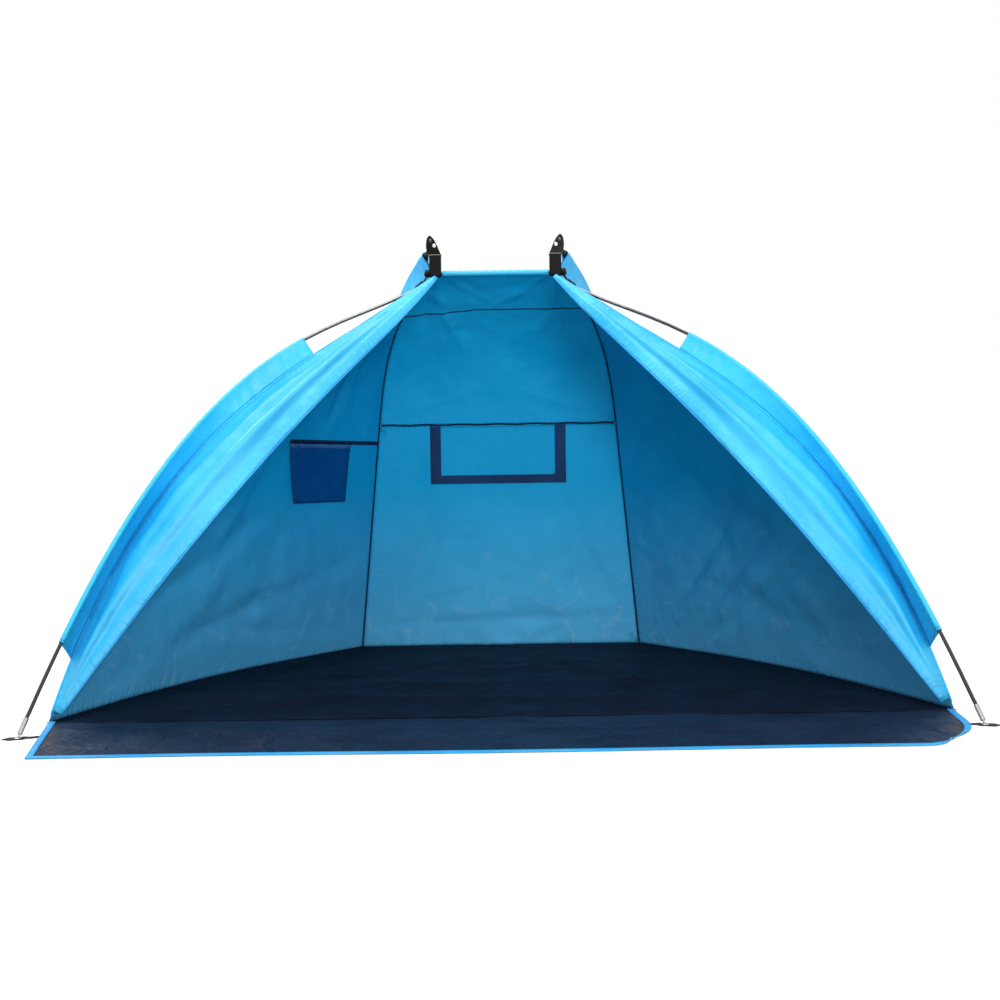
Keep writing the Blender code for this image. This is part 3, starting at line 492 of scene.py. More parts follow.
def cloth(
    name, place, columns, rows, finishes, sewn="uUvV", thickness=0.0007, ring=False, outwards=INSIDE,
    cut=None,
):
    """A sheet laid as a grid, moved to its place and given its thickness."""
    bm = bmesh.new()
    uv = bm.loops.layers.uv.new("UVMap")
    edge = bm.verts.layers.float.new("edge")
    along = bm.verts.layers.float.new("along")
    turn = bm.verts.layers.float.new("turn")
    climb = bm.verts.layers.float.new("climb")
    bmesh.ops.create_grid(bm, x_segments=columns, y_segments=rows, size=0.5)
    wide = max(length_of(lambda s, v=v: place(s, v)) for v in (0.02, 0.25, 0.5, 0.75, 0.98))
    tall = max(length_of(lambda s, u=u: place(u, s)) for u in (0.02, 0.5, 0.98))
    shares = {vert: (vert.co.x + 0.5, vert.co.y + 0.5) for vert in bm.verts}
    for face in bm.faces:
        for corner in face.loops:
            u, v = shares[corner.vert]
            corner[uv].uv = (u * wide, v * tall)
    if cut:
        gone = [
            face for face in bm.faces if cut(*[sum(shares[v][k] for v in face.verts) / 4 for k in (0, 1)])
        ]
        bmesh.ops.delete(bm, geom=gone, context="FACES")
    widths = {}
    for vert in bm.verts:
        u, v = shares[vert]
        vert.co = place(u, v)
        vert[turn] = u
        vert[climb] = v
        level = round(v, 4)
        if level not in widths:
            widths[level] = length_of(lambda s, v=v: place(s, v), 8)
        here = widths[level]
        rims = {
            "u": (u * here, v * tall), "U": ((1 - u) * here, v * tall), "v": (v * tall, u * here),
            "V": ((1 - v) * tall, u * here),
        }
        vert[edge], vert[along] = min((rims[key] for key in sewn), default=(1.0, 0.0))
    bm.normal_update()
    if ring:
        bmesh.ops.remove_doubles(bm, verts=bm.verts, dist=1e-6)
        bmesh.ops.recalc_face_normals(bm, faces=bm.faces)
    elif sum(f.normal.dot(f.calc_center_median() - outwards) * f.calc_area() for f in bm.faces) < 0:
        bmesh.ops.reverse_faces(bm, faces=bm.faces)
    bm.normal_update()
    area = sum(f.calc_area() for f in bm.faces)
    made = placed(name, bm, finishes)
    wall = made.modifiers.new("wall", "SOLIDIFY")
    wall.thickness = thickness
    wall.offset = -1.0
    wall.material_offset = len(finishes) - 1
    made["flat"] = (wide, tall, area)
    return made


def declare(piece, held, *nodes, strip=None):
    """Hides the imported nodes that a piece stands for; the cut size it works out from a sheet or its strip
    is not kept.
    """
    wide, tall, area = piece["flat"]
    if strip:
        wide, tall = strip, area / strip
    if nodes:
        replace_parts(piece, *nodes)
    return piece


def cord(name, points, radius, finish, sides=3):
    """Piping, a hem or a rod along a line of points, as a closed round mesh."""
    curve = bpy.data.curves.new(name, "CURVE")
    curve.dimensions = "3D"
    curve.bevel_depth = radius
    curve.bevel_resolution = sides
    curve.use_fill_caps = True
    line = curve.splines.new("POLY")
    line.points.add(len(points) - 1)
    for knot, point in zip(line.points, points):
        knot.co = (*point, 1.0)
    holder = bpy.data.objects.new(name + "_line", curve)
    bpy.context.scene.collection.objects.link(holder)
    bpy.context.view_layer.update()
    mesh = bpy.data.meshes.new_from_object(holder.evaluated_get(bpy.context.evaluated_depsgraph_get()))
    bpy.data.objects.remove(holder, do_unlink=True)
    bm = bmesh.new()
    bm.from_mesh(mesh)
    bmesh.ops.remove_doubles(bm, verts=bm.verts, dist=1e-6)
    bmesh.ops.recalc_face_normals(bm, faces=bm.faces)
    bpy.data.meshes.remove(mesh)
    return placed(name, bm, [finish])


def share_out(piece, shares=None):
    """Bakes the placement of a piece into its mesh and reads its shares of the fold, which nothing uses."""
    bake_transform(piece)
    if shares is None:
        shares = [entry.value for entry in piece.data.attributes["turn"].data]
    return piece


SIDES = (("left", -1), ("right", 1))
print("cloth helpers ready for", len(SIDES), "sides")

# %% [markdown]
# Each side wall is one sheet from the rear rib to the front seam. It bellies out a little, its
# foot follows the bowed edge of the floor, and it is pulled into long diagonal folds towards the
# hub and the front corner.

# %% Side walls
WALL_TOP = 0.975


def wall_surface(u, v):
    """The left wall: u from the rear rib to the front seam, v from the floor up."""
    share = v * WALL_TOP
    swell = 0.045 * sin(pi * min(share / 0.955, 1)) ** 0.5 if share > 0 else 0
    belly = max(swell, 0.07 * (1 - share) ** 4)
    point = rib(share).lerp(front_seam(share), u) + OUTWARD * (belly * sin(pi * u))
    point.z = max(point.z, 0.0008)
    return point


def wall_folds(u, v, base):
    calm = min(1, 12 * u, 12 * (1 - u), 10 * v, 12 * (1 - v))
    height = crease(u, v, (1.0, 0.05), (0.35, 0.42), 0.03, 0.010)
    height += crease(u, v, (0.92, 0.02), (0.15, 0.20), 0.025, 0.008)
    height -= crease(u, v, (0.75, 0.03), (0.30, 0.55), 0.04, 0.009)
    height += crease(u, v, (0.45, 0.10), (0.25, 0.90), 0.03, 0.006)
    height -= crease(u, v, (0.65, 0.25), (0.45, 0.95), 0.03, 0.005)
    height += crease(u, v, (0.10, 0.05), (0.55, 0.09), 0.015, 0.006)
    if base.x > 0:
        height *= 0.4
        for lift in (0.0, 0.08, 0.16):
            height += crease(
                u, v, (0.08 + lift, 0.05 - 0.1 * lift), (0.56 + 1.4 * lift, 0.38 - 0.8 * lift), 0.015, 0.013,
            )
    height += ripple(base, 7.0, 0.006, 3.0) + ripple(base, 20.0, 0.0018, 5.0)
    if base.x < 0 and u < 0.6:
        calm *= 1 - 0.92 * min(1, max(0, 1.8 - abs(base.z - 0.60) / 0.10))
    return height * max(calm, 0)


for side_name, side in SIDES:
    sheet = relief(lambda u, v, side=side: on_side(wall_surface(u, v), side), wall_folds, sign=-side)
    wall = cloth("side_wall_cloth_" + side_name, sheet, 112, 120, [sky_outside, painted_shade_inside])
    declare(wall, "stretched", "side_wall_" + side_name)
    share_out(wall)
    print(wall.name, "cut area", round(wall["flat"][2], 3), "m2")

# %% [markdown]
# A wing is the crescent between the bowed seam of the front sleeve and the nearly straight free
# hem of the door. It is the brightest cloth in the picture, because it faces forward and up. It
# narrows to a point under the hub, and fine folds run out of that point like the ribs of a fan.

# %% Wings and door hems


def wing_surface(u, v):
    share = 0.015 + v * 0.975
    late = max(0, (share - 0.78) / 0.21)
    seam = front_seam(share) + Vector((0.004, 0, 0.027)) * late**1.5
    hem = hem_line(share) + Vector((0, 0, 0.022)) * late**3
    return seam.lerp(hem, u) + Vector((0, -0.025, 0.016)) * (sin(pi * share) ** 0.7 * sin(pi * u))


def wing_folds(u, v, base):
    calm = min(1, 8 * u, 8 * v, 10 * (1 - v))
    height = 0.0
    for number, (foot_u, foot_v) in enumerate(
        ((0.12, 0.60), (0.30, 0.30), (0.50, 0.45), (0.68, 0.25), (0.88, 0.40))
    ):
        height += crease(u, v, (0.5, 1.05), (foot_u, foot_v), 0.055, 0.0075 if number % 2 else -0.0075)
    height += crease(u, v, (0.62, 0.85), (0.52, 0.05), 0.09, 0.009)
    height += crease(u, v, (0.6, 0.0), (0.25, 0.35), 0.09, 0.007)
    height -= crease(u, v, (0.6, 0.0), (0.75, 0.40), 0.09, 0.007)
    return calm * (height + ripple(base, 9.0, 0.004, 7.0) + ripple(base, 28.0, 0.0012, 2.0))


for side_name, side in SIDES:
    sheet = relief(lambda u, v, side=side: on_side(wing_surface(u, v), side), wing_folds, sign=-side)
    wing = cloth("wing_cloth_" + side_name, sheet, 20, 90, [sky_outside, sky_inside], sewn="uU")
    declare(wing, "stretched", "wing_" + side_name)
    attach(wing, "front_leg_" + side_name)
    points = [on_side(wing_surface(1.0, i / 60), side) for i in range(61)]
    hem = cord("door_hem_" + side_name, points, 0.0026, hem_cloth)
    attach(hem, "front_leg_" + side_name)
    points = [on_side(front_seam(0.01 + 0.955 * i / 60), side) for i in range(61)]
    seam = cord("front_seam_cord_" + side_name, points, 0.0026, sleeve_cloth)
    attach(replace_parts(seam, "front_seam_" + side_name), "front_leg_" + side_name)
    print(wing.name, "cut area", round(wing["flat"][2], 3), "m2")

# %% [markdown]
# The roof and the upper part of the rear wall are made as one continuous curved sheet between
# the two ribs. It starts at the seam above the window, climbs over the roof seam, narrows to the
# ridge and wraps nearly round the ridge bar as a hem. Folds gather at the two hubs, which carry it.

# %% Roof and upper rear wall
UPPER = 0.80            # share of the sheet's height up to the end of the ribs
HEM_START = 0.88        # where the sheet starts to wrap round the ridge bar
HEM_RADIUS = 0.0082
HEM_HALF = 0.157


def canopy_surface(u, v):
    across = 2 * u - 1
    if v < UPPER:
        left = upper_rib(v / UPPER * 0.985)
        return Vector((across * -left.x, left.y, left.z))
    if v < HEM_START:
        left = upper_rib(0.985)
        edge = spot(-HEM_HALF, BAR_SETBACK + HEM_RADIUS, BAR_HEIGHT)
        point = left.lerp(edge, (v - UPPER) / 0.08)
        return Vector((across * -point.x, point.y, point.z))
    turn = radians(320) * (v - HEM_START) / 0.12
    radius = HEM_RADIUS - 0.0012 * (v - HEM_START) / 0.12
    return spot(across * HEM_HALF, BAR_SETBACK + radius * cos(turn), BAR_HEIGHT + radius * sin(turn))


def canopy_folds(u, v, base):
    if v > 0.87:
        return 0.0006 * sin(base.x * 260) * sin(pi * u)
    calm = min(1, 14 * u, 14 * (1 - u), 10 * v, 12 * (0.87 - v))
    height = 0.0
    for sign, hub in ((1, 0.0), (-1, 1.0)):
        height += crease(u, v, (hub, 0.86), (hub + sign * 0.35, 0.35), 0.02, 0.006)
        height -= crease(u, v, (hub, 0.84), (hub + sign * 0.22, 0.30), 0.02, 0.005)
        height += crease(u, v, (hub, 0.86), (hub + sign * 0.60, 0.55), 0.02, 0.004)
        height += crease(u, v, (hub, 0.02), (hub + sign * 0.40, 0.14), 0.02, 0.004)
    near_seam = exp(-((v - 0.55) / 0.02) ** 2) + exp(-((v - 0.02) / 0.02) ** 2)
    height += near_seam * 0.002 * sin(base.x * 110 + 2 * sin(base.x * 31))
    calm *= 1 - 0.75 * exp(-((v - UPPER * ROOF_SEAM) / 0.04) ** 2)
    return max(calm, 0) * (height + ripple(base, 8.0, 0.006, 11.0) + ripple(base, 26.0, 0.0016, 1.0))


canopy = cloth(
    "roof_and_upper_rear_cloth", relief(canopy_surface, canopy_folds), 60, 100, [sky_outside, sky_inside],
    sewn="uUv",
)
declare(canopy, "stretched", "back_panel_upper", "roof_panel", "ridge_tunnel")
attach(canopy, "rear_frame")
print(canopy.name, "cut area", round(canopy["flat"][2], 3), "m2")

# %% [markdown]
# The lower rear wall stands almost upright. It has a real opening for the window, framed with a
# wide navy border on three sides and hung from the seam above. Behind it hangs a flap of the
# same cloth, hinged on that seam, so the opening shows its bright blue.

# %% Lower rear wall, window border and flap
WINDOW_TOP = 0.7492
WINDOW_SILL = 0.5787
WINDOW_HALF = 0.193
BORDER = 0.036


def back_surface(u, v):
    if v < 0.75:
        height = 0.0008 + (WINDOW_SILL - 0.0008) * v / 0.75
    else:
        height = WINDOW_SILL + (WINDOW_TOP - WINDOW_SILL) * (v - 0.75) / 0.25
    half = 0.47 - 0.07 * height / 0.75
    if u < 0.3:
        x = -half + (half - WINDOW_HALF) * u / 0.3
    elif u > 0.7:
        x = WINDOW_HALF + (half - WINDOW_HALF) * (u - 0.7) / 0.3
    else:
        x = WINDOW_HALF * (u - 0.5) / 0.2
    return spot(x, REAR, height)


def back_folds(u, v, base):
    calm = min(1, 14 * u, 14 * (1 - u), 14 * (1 - v))
    if v > 0.6:
        calm *= 1 - 0.9 * min(1, max(0, (0.30 - abs(u - 0.5)) / 0.04)) * min(1, (v - 0.6) / 0.08)
    height = crease(u, v, (0.30, 0.74), (0.05, 0.10), 0.025, 0.006)
    height += crease(u, v, (0.70, 0.74), (0.95, 0.12), 0.025, 0.006)
    height -= crease(u, v, (0.36, 0.72), (0.22, 0.05), 0.03, 0.005)
    height -= crease(u, v, (0.62, 0.72), (0.72, 0.06), 0.03, 0.005)
    height += crease(u, v, (0.08, 0.10), (0.92, 0.13), 0.02, 0.005)
    crumpled = exp(-((v - 0.035) / 0.04) ** 2)
    height += crumpled * (0.004 * sin(base.x * 95 + 3 * sin(base.x * 23)) + ripple(base, 45.0, 0.004, 8.0))
    return max(calm, 0) * (height + ripple(base, 7.0, 0.006, 21.0) + ripple(base, 24.0, 0.0014, 9.0))


def in_window(u, v):
    return 0.3 < u < 0.7 and v > 0.75


back = cloth(
    "lower_rear_cloth", relief(back_surface, back_folds, sign=-1.0), 60, 60, [sky_outside, sky_inside],
    cut=in_window,
)
declare(back, "stretched", "back_panel_lower")
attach(back, "rear_frame")


def border_surface(u, v):
    out = WINDOW_HALF + BORDER
    if u < 0.2:
        x = -out + BORDER * u / 0.2
    elif u > 0.8:
        x = WINDOW_HALF + BORDER * (u - 0.8) / 0.2
    else:
        x = WINDOW_HALF * (u - 0.5) / 0.3
    low = WINDOW_SILL - BORDER * 0.8
    if v < 0.2:
        height = low + (WINDOW_SILL - low) * v / 0.2
    else:
        height = WINDOW_SILL + (WINDOW_TOP - WINDOW_SILL) * (v - 0.2) / 0.8
    pull = 0.0006 * sin(x * 60) * sin(height * 50)
    return spot(x, REAR - 0.0022 + pull, height)


border = cloth(
    "window_border_tape", border_surface, 40, 40, [border_tape], thickness=0.0012,
    outwards=BEHIND, cut=lambda u, v: 0.2 < u < 0.8 and v > 0.2,
)
declare(border, "stretched", "window_border", strip=BORDER)
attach(border, "rear_frame")

heading = cloth(
    "window_heading_tape", lambda u, v: spot(0.405 * (u - 0.5), 1.0608, 0.7405 + 0.011 * v), 30, 2,
    [sky_inside], sewn="v", thickness=0.0006, outwards=BEHIND,
)
declare(heading, "stretched")
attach(heading, "rear_frame")


def flap_surface(u, v):
    half = WINDOW_HALF + 0.022
    height = 0.7425 - (0.7425 - WINDOW_SILL + 0.022) * (1 - v)
    return spot(half * (2 * u - 1), 1.0626 + 0.002 * sin(pi * (1 - v)), height)


def flap_folds(u, v, base):
    calm = min(1, 8 * (1 - v))
    height = crease(u, v, (0.02, 0.95), (0.5, 0.30), 0.05, 0.002)
    height += crease(u, v, (0.98, 0.95), (0.55, 0.35), 0.05, 0.002)
    return calm * (0.002 + height + ripple(base, 14.0, 0.002, 4.0))


flap = cloth(
    "window_flap_cloth", relief(flap_surface, flap_folds, sign=-1.0), 36, 24, [sky_outside, sky_inside],
    sewn="uUv",
)
declare(flap, "hung", "window_flap")
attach(flap, "window_flap")
print("window", round(2 * WINDOW_HALF * 1000), "x", round((WINDOW_TOP - WINDOW_SILL) * 1000), "mm")

# %% [markdown]
# Dark piping covers each seam of the rear half: down both ribs, across the rear wall above the
# window, and across the roof. It is a cord in a navy tape, so a round cord of 5 to 6 mm stands for it.

# %% Piping
for side_name, side in SIDES:
    points = [on_side(rib(0.001 + 0.985 * i / 70), side) for i in range(71)]
    points[0].z = 0.005
    piping = cord("rib_piping_cord_" + side_name, points, 0.0028, navy_tape)
    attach(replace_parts(piping, "rib_piping_" + side_name), "rear_frame")
across = [spot(-0.394 + 0.788 * i / 24, REAR, SEAM_HEIGHT + 0.0012 * sin(i * 1.7)) for i in range(25)]
piping = cord("rear_seam_cord", across, 0.0030, navy_tape)
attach(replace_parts(piping, "back_seam_piping"), "rear_frame")
proud = relief(canopy_surface, lambda u, v, base: canopy_folds(u, v, base) + 0.0004)
across = [
    proud(0.004 + 0.992 * i / 80, UPPER * (ROOF_SEAM - 0.05 * max(0, 1 - 2.6 * i / 80))) for i in range(81)
]
piping = cord("roof_seam_cord", across, 0.0024, navy_tape)
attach(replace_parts(piping, "roof_seam_piping"), "rear_frame")
print("roof seam", round((across[-1] - across[0]).length, 3), "m wide")

# %% [markdown]
# A sleeve is a strip of cloth folded round its rod and sewn to the canopy through both layers.
# Its cross-section is a small round room for the rod and a flat double fin down to the seam. The
# same ring is drawn at many places along the rod, turned to face the nearest point of the seam.

# %% Pole sleeves
ARC = 13                # points of the ring round the rod
FIN = (0.25, 0.45, 0.65, 0.85, 1.0, 0.96, 0.75, 0.5, 0.25)


def sleeve_surface(pole_line, seam_line, low, high, side):
    seam = [seam_line(i / 240) for i in range(241)]
    known = {}

    def frame_at(share):
        if share not in known:
            pole = pole_line(share)
            forward = (pole_line(share + 0.005) - pole_line(share - 0.005)).normalized()
            inward = min(seam, key=lambda point: (point - pole).length) - pole
            inward -= forward * inward.dot(forward)
            width = max(inward.length - 0.0005, 0.008)
            inward.normalize()
            known[share] = pole, inward, forward.cross(inward), width
        return known[share]

    def place(u, v):
        share = low + (high - low) * v
        pole, inward, across, width = frame_at(share)
        index = round(u * (ARC + len(FIN))) % (ARC + len(FIN))
        if index < ARC:
            turn = radians(60 + 240 * index / (ARC - 1))
            room = 0.0066 + 0.0040 * min(1, max(0, (share - 0.92) / 0.04))
            point = pole + inward * (room * cos(turn)) + across * (room * sin(turn))
        else:
            reach = FIN[index - ARC]
            flat = 0.0009 + 0.0042 * (1 - reach) ** 3
            sign = -1 if index < ARC + 5 else 1
            pucker = 0.0016 * sin(share * 190 + 2 * sin(share * 47)) * (1 - reach) * reach * 4
            point = pole + inward * (0.0033 + (width - 0.0033) * reach) + across * (sign * flat + pucker)
        return on_side(point, side)

    return place


for side_name, side in SIDES:
    ring = sleeve_surface(front_pole, front_seam, 0.065, 0.575, side)
    sleeve = cloth(
        "front_sleeve_cloth_" + side_name, ring, ARC + len(FIN), 110, [sleeve_cloth], sewn="vV",
        thickness=0.0006, ring=True,
    )
    declare(sleeve, "stretched", "front_sleeve_" + side_name)
    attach(sleeve, "front_leg_" + side_name)
    ring = sleeve_surface(rear_pole, rib, 0.07, 0.972, side)
    sleeve = cloth(
        "rear_sleeve_cloth_" + side_name, ring, ARC + len(FIN), 110, [sleeve_cloth], sewn="vV",
        thickness=0.0006, ring=True,
    )
    declare(sleeve, "stretched", "rear_sleeve_" + side_name)
    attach(sleeve, "rear_frame")
    print("sleeves", side_name)

# %% [markdown]
# The floor and the apron are coated navy cloth that lies on the sand, with a few long wrinkles.
# The sides of the floor bow out with the walls. A light blue tape binds the apron, and its right
# front corner lies rounded and pulled in. The floor is sewn to the feet of the walls.

# %% Floor, apron and binding


def floor_surface(u, v):
    across = 2 * u - 1
    edge = floor_side(v) + Vector((-0.003, 0.012 * v - 0.008, 0))
    middle = 1.072 * v - 0.008 + SETBACK
    return Vector((-edge.x * across, middle + (edge.y - middle) * across * across, 0.0030))


def floor_folds(u, v, base):
    calm = min(1, 14 * u, 14 * (1 - u), 14 * (1 - v), 14 * v)
    height = crease(u, v, (0.50, 0.03), (0.80, 0.06), 0.02, 0.007)
    height += crease(u, v, (0.05, 0.02), (0.40, 0.35), 0.02, 0.006)
    height += crease(u, v, (0.97, 0.02), (0.62, 0.45), 0.02, 0.006)
    height += crease(u, v, (0.30, 0.10), (0.45, 0.85), 0.015, 0.005)
    height += crease(u, v, (0.75, 0.15), (0.60, 0.80), 0.015, 0.005)
    height += crease(u, v, (0.10, 0.45), (0.55, 0.60), 0.02, 0.005)
    height += crease(u, v, (0.03, 0.22), (0.97, 0.14), 0.03, 0.009)
    height += crease(u, v, (0.10, 0.34), (0.80, 0.38), 0.03, 0.008)
    return max(calm, 0) * max(
        height + ripple(base, 5.0, 0.006, 31.0) + ripple(base, 18.0, 0.003, 6.0), -0.0012,
    )


def settle_down(piece):
    """Gives a piece its own copy of its mesh."""
    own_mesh(piece)


floor = cloth(
    "ground_sheet_cloth", relief(floor_surface, floor_folds), 90, 60, [painted_shade_ground_cloth],
    outwards=BELOW,
)
declare(floor, "laid", "floor_sheet")
share_out(floor, shares=[1 - entry.value for entry in floor.data.attributes["climb"].data])


def apron_surface(u, v):
    half = 1.09 - 0.09 * v
    near_edge = min(max((u - 0.94) / 0.06, 0), 1)
    near_corner = near_edge * min(max((v - 0.55) / 0.45, 0), 1)
    x = -half + 2 * half * u - 0.045 * near_corner**2 + 0.016 * near_edge * sin(pi * v) ** 2
    y = 0.006 - 0.336 * v + 0.040 * near_edge**2 * v**2
    wave = 0.004 * sin(u * 9) * v * (1 - abs(2 * u - 1) ** 6)
    return spot(x, y + wave, 0.0016 + 0.003 * near_corner**2)


def apron_folds(u, v, base):
    calm = min(1, 20 * u, 20 * (1 - u), 10 * v, 8 * (1 - v))
    height = crease(u, v, (0.02, 0.10), (0.45, 0.75), 0.04, 0.005)
    height += crease(u, v, (0.98, 0.10), (0.60, 0.70), 0.04, 0.005)
    height += crease(u, v, (0.30, 0.35), (0.90, 0.45), 0.05, 0.004)
    return max(calm, 0) * max(
        height + ripple(base, 6.0, 0.005, 41.0) + ripple(base, 20.0, 0.002, 6.0), -0.0012,
    )


apron = cloth(
    "apron_cloth", relief(apron_surface, apron_folds, sign=-1.0), 100, 24, [apron_finish],
    outwards=BELOW,
)
declare(apron, "laid", "front_apron")
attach(apron, "ground")
settle_down(apron)


def binding_surface(u, v):
    """u runs down the left side, along the front and up the right side; v from outside to inside."""
    if u < 0.15:
        outer = (0.0, u / 0.15)
    elif u > 0.85:
        outer = (1.0, (1 - u) / 0.15)
    else:
        outer = ((u - 0.15) / 0.70, 1.0)
    inner = (min(max(outer[0], 0.0075), 0.9925), min(outer[1], 0.951))
    point = apron_surface(outer[0] + (inner[0] - outer[0]) * v, outer[1] + (inner[1] - outer[1]) * v)
    point.z += 0.0020 + 0.0006 * sin(u * 130) * v * (1 - v) * 4
    return point


binding = cloth(
    "apron_binding_tape", binding_surface, 200, 4, [hem_cloth], sewn="V", thickness=0.0022,
    outwards=BELOW,
)
declare(binding, "laid", "apron_binding")
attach(binding, "ground")
settle_down(binding)
print("floor cut area", round(floor["flat"][2], 3), "m2")

# %% [markdown]
# The pocket is a flat patch on the left wall, sewn down its sides and along its foot and open at
# the top, where a paler elastic band draws it in. It hangs from a tape that runs to the rib. It
# is placed on the wall by its height and its distance from the rib, so that it follows the wall.

# %% Pocket


def wall_place(height, walked):
    """A point of the left wall at a height and a distance from the rib, the way in, and its share."""
    steps = 40
    last = None
    done = 0.0
    for i in range(steps + 1):
        u = i / steps
        low, high = 0.0, 1.0
        for _ in range(18):
            middle = (low + high) / 2
            if wall_surface(u, middle).z < height:
                low = middle
            else:
                high = middle
        point = wall_surface(u, low)
        if last:
            step = (point - last[0]).length
            if done + step >= walked:
                share = (walked - done) / step
                run = (point - last[0]).normalized()
                inward = Vector((0, 0, 1)).cross(run)
                return last[0].lerp(point, share), inward, last[1] + (u - last[1]) * share
            done += step
        last = point, u
    return point, Vector((0, 0, 1)).cross(run), 1.0


POCKET_TOP = 0.684
POCKET_HEIGHT = 0.185
POCKET_NEAR = 0.135
POCKET_WIDTH = 0.28
levels = {}


def pocket_spot(u, v, reach):
    key = (round(u, 4), round(v, 4))
    if key not in levels:
        levels[key] = wall_place(
            POCKET_TOP - POCKET_HEIGHT * (1 - v), POCKET_NEAR + POCKET_WIDTH * u * (0.80 + 0.20 * v),
        )
    point, inward, share = levels[key]
    return point + inward * reach, share


def pocket_surface(u, v):
    pouch = min(1, 9 * u, 9 * (1 - u)) * min(1, 8 * v + 0.1)
    fold = crease(u, v, (0.92, 0.93), (0.22, 0.05), 0.06, 0.006)
    fold -= crease(u, v, (0.80, 0.95), (0.12, 0.20), 0.05, 0.005)
    reach = 0.0062 + pouch * (0.004 + 0.009 * v * v + fold)
    return pocket_spot(u, v, reach)[0]


def ride_wall(piece):
    """Finds for each vertex of a piece sewn to the left wall the share of the wall under it, and bakes the
    piece's placement; the shares are not used.
    """
    known = list(levels.values())
    shares = [
        min(known, key=lambda entry: (entry[0] - vertex.co).length)[2] for vertex in piece.data.vertices
    ]
    return share_out(piece, shares=shares)


pocket = cloth("pocket_cloth", pocket_surface, 36, 24, [pocket_cloth], sewn="uUv", outwards=LEFT_OF)
declare(pocket, "stretched", "pocket_front", "pocket_side_rear", "pocket_side_front", "pocket_base")
ride_wall(pocket)
elastic = woven("pale_blue_elastic", "#2B5E97", "#3B72AE", "#0B2340", roughness=0.65, pitch=0.0016)


def band_surface(u, v):
    reach = 0.0075 + min(1, 9 * u, 9 * (1 - u)) * 0.0125 + 0.0006 * sin(u * 150)
    return pocket_spot(u, 0.93 + 0.07 * v, reach)[0]


band = cloth(
    "pocket_elastic_band", band_surface, 60, 3, [elastic], sewn="v", thickness=0.0012,
    outwards=LEFT_OF,
)
declare(band, "stretched")
ride_wall(band)


def tape_surface(u, v):
    key = ("tape", round(u, 4), round(v, 4))
    if key not in levels:
        levels[key] = wall_place(
            POCKET_TOP + 0.001 + 0.012 * v, 0.004 + (POCKET_NEAR + POCKET_WIDTH - 0.004) * u,
        )
    point, inward, _ = levels[key]
    return point + inward * 0.0045


tape = cloth(
    "pocket_hanging_tape", tape_surface, 40, 2, [navy_tape], sewn="vV", thickness=0.0012,
    outwards=LEFT_OF,
)
declare(tape, "stretched", "pocket_tape")
ride_wall(tape)
print("pocket", round(POCKET_WIDTH * 1000), "x", round(POCKET_HEIGHT * 1000), "mm")

# %% [markdown]
# Each rod stands in an eyelet in a black webbing tab with a pointed end. The eyelet is a rolled
# steel ring, so it is a small circle spun about the foot.

# %% Foot tabs and eyelets


def eyelet(name, centre, radius, wire):
    bm = bmesh.new()
    bmesh.ops.create_circle(bm, cap_ends=False, segments=10, radius=wire)
    bmesh.ops.rotate(bm, verts=bm.verts, cent=(0, 0, 0), matrix=Matrix.Rotation(pi / 2, 3, "X"))
    bmesh.ops.translate(bm, verts=bm.verts, vec=(radius, 0, 0))
    bmesh.ops.spin(
        bm, geom=bm.verts[:] + bm.edges[:], cent=(0, 0, 0), axis=(0, 0, 1), angle=2 * pi, steps=28,
        use_merge=True,
    )
    bmesh.ops.remove_doubles(bm, verts=bm.verts, dist=1e-6)
    bmesh.ops.scale(bm, verts=bm.verts, vec=(1, 1, 0.7))
    bmesh.ops.translate(bm, verts=bm.verts, vec=centre)
    bmesh.ops.recalc_face_normals(bm, faces=bm.faces)
    return placed(name, bm, [plated_steel])


def tab_surface(anchor, foot, side):
    out = (foot - anchor).normalized()
    across = Vector((-out.y, out.x, 0))
    total = (foot - anchor).length + 0.034
    wide_from = (foot - anchor).length - 0.0156

    def place(u, v):
        way = 0.0005 + v * (total - 0.0005)
        half = 0.0075 if way < wide_from else 0.013
        if way > total - 0.0153:
            half = 0.013 * (total - way) / 0.0153 + 0.0006
        if abs(way - wide_from) < 0.004:
            half = 0.0075 + 0.0055 * (way - wide_from + 0.004) / 0.008
        point = anchor + out * way + across * (half * (2 * u - 1))
        return on_side(Vector((point.x, point.y, 0.0021 + 0.0003 * sin(way * 300))), side)

    return place


run = (spot(-1.0, -0.33, 0) - FRONT_CORNER).normalized()
front_anchor = FRONT_CORNER + run * (FRONT_FOOT - FRONT_CORNER).dot(run)
for side_name, side in SIDES:
    for place_name, anchor, foot, body in (
        ("front", front_anchor, FRONT_FOOT, "front_leg_" + side_name),
        ("rear", BACK_CORNER, REAR_FOOT, "ground"),
    ):
        strap = tab_surface(anchor, foot, side)
        centre = on_side(foot, side)
        tab = cloth(
            f"{place_name}_foot_tab_strap_{side_name}", strap, 12, 60, [webbing], sewn="", thickness=0.0019,
            outwards=BELOW, cut=lambda u, v: (strap(u, v) - centre).length < 0.0058,
        )
        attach(declare(tab, "stretched", f"{place_name}_foot_tab_{side_name}"), body)
        ring = eyelet(f"{place_name}_eyelet_{side_name}", centre + Vector((0, 0, 0.0024)), 0.0064, 0.0013)
        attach(ring, body)
print("tabs", 4)

# %% [markdown]
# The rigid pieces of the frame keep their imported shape. Each one only gets its finish.

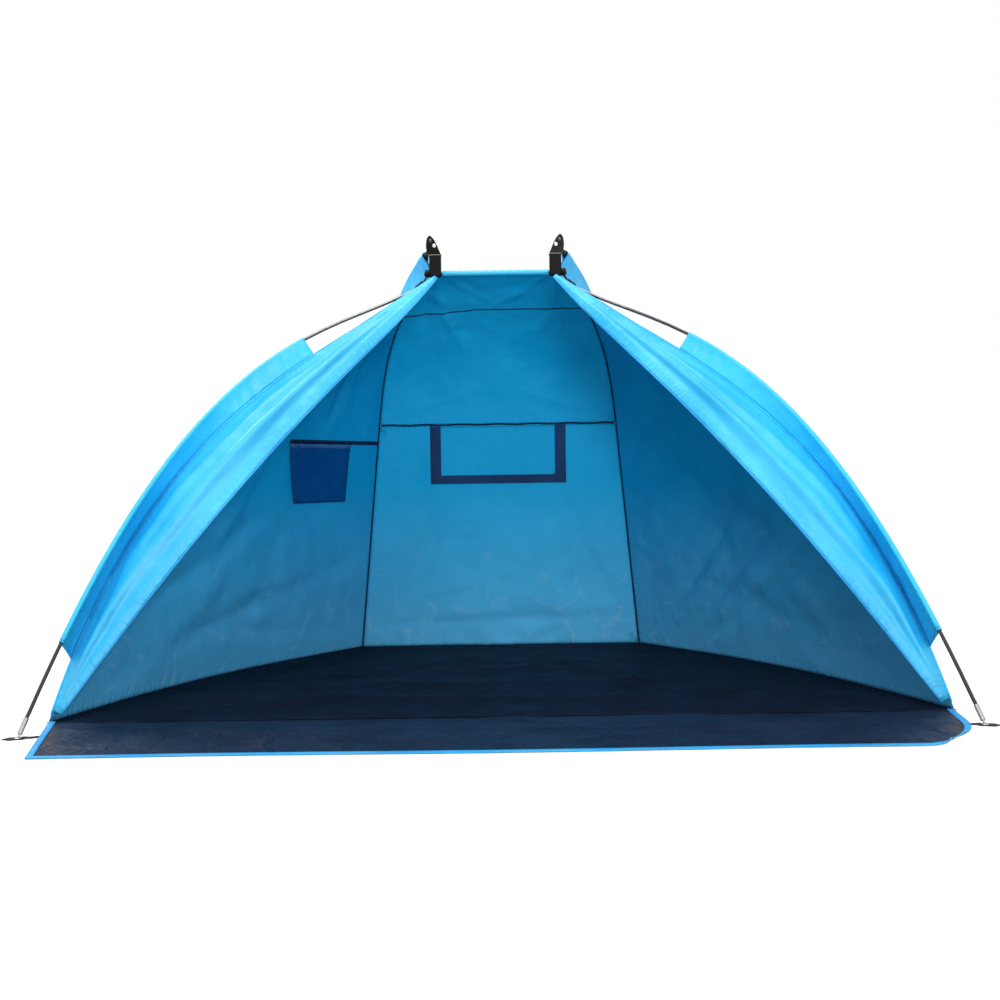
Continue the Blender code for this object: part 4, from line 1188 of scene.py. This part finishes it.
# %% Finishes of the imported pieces
finishes = {
    "hub_block": hub_plastic, "hub_ear": ear_plastic, "hub_rim": tan_nylon, "ear_rivet": plated_steel,
    "swivel_pin": dull_steel, "front_arm": arm_plastic, "rear_arm": arm_plastic, "ridge_bar": rod_black,
    "front_pole": rod_black, "rear_pole": rod_black, "front_ferrule": aluminium, "rear_ferrule": aluminium,
}
done = 0
for name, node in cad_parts.items():
    for start, finish in finishes.items():
        if name.startswith(start):
            node.data.materials.clear()
            node.data.materials.append(
                dull_steel if name in ("ear_rivet_left_2", "ear_rivet_right_2") else finish
            )
            done += 1
print("packed pieces finished:", done)

# %% [markdown]
# The stage is a pale floor under a white surround. The key lamp stands high behind the left side,
# where the sun was: it draws the sheen on the left wing and leaves the inner walls in the shade.
# One lamp hangs above and one stands in front. The floor glows for the camera only, and the
# surround is white to the camera and in reflections, but lights the cloth with 0.6 of that.

# %% Floor, lamps and surround
bm = bmesh.new()
bmesh.ops.create_grid(bm, x_segments=1, y_segments=1, size=30)
bmesh.ops.translate(bm, verts=bm.verts, vec=(0, 0, -0.0006))
pale, tree, shader, place = new_finish("pale_studio_floor")
shader.inputs["Base Color"].default_value = (0.85, 0.85, 0.85, 1)
shader.inputs["Roughness"].default_value = 0.9
path = add(tree, "LightPath")
seen = add(tree, "Math", {0: path.outputs["Is Camera Ray"], 1: 0.55}, operation="MULTIPLY")
glow = add(tree, "Emission", {"Color": (1, 1, 1, 1), "Strength": 1.45})
mixed = add(tree, "MixShader", {0: seen, 1: shader, 2: glow})
tree.links.new(mixed.outputs[0], tree.nodes["Material Output"].inputs["Surface"])
placed("studio_floor", bm, [pale])


MIDDLE = Vector((0, 0, 0.5))


def lamp(name, place, size, watts):
    """A round lamp that aims at the middle of the tent."""
    light = bpy.data.lights.new(name, "AREA")
    light.shape = "DISK"
    light.size = size
    light.energy = watts
    made = bpy.data.objects.new(name, light)
    made.location = place
    made.rotation_euler = (Vector(place) - MIDDLE).to_track_quat("Z", "Y").to_euler()
    bpy.context.scene.collection.objects.link(made)


lamp("key_lamp", (-2.9, 1.4, 3.3), 1.2, 85)
lamp("top_lamp", (-0.3, -1.2, 4.4), 1.6, 108)
lamp("fill_lamp", (1.2, -4.6, 1.4), 1.6, 90)
world = bpy.data.worlds.new("surround")
bpy.context.scene.world = world
world.use_nodes = True
tree = world.node_tree
shown = tree.nodes["Background"]
path = add(tree, "LightPath")
direct = add(
    tree, "Math", {0: path.outputs["Is Camera Ray"], 1: path.outputs["Is Glossy Ray"]},
    operation="MAXIMUM",
)
clear = add(tree, "Math", {0: direct, 1: path.outputs["Is Transmission Ray"]}, operation="MAXIMUM")
power = add(tree, "MapRange", {"Value": clear, "To Min": 0.6, "To Max": 1.0})
shown.inputs["Color"].default_value = (1, 1, 1, 1)
tree.links.new(power.outputs[0], shown.inputs["Strength"])
bpy.context.scene.view_settings.view_transform = "Standard"
print("lamps:", 3)
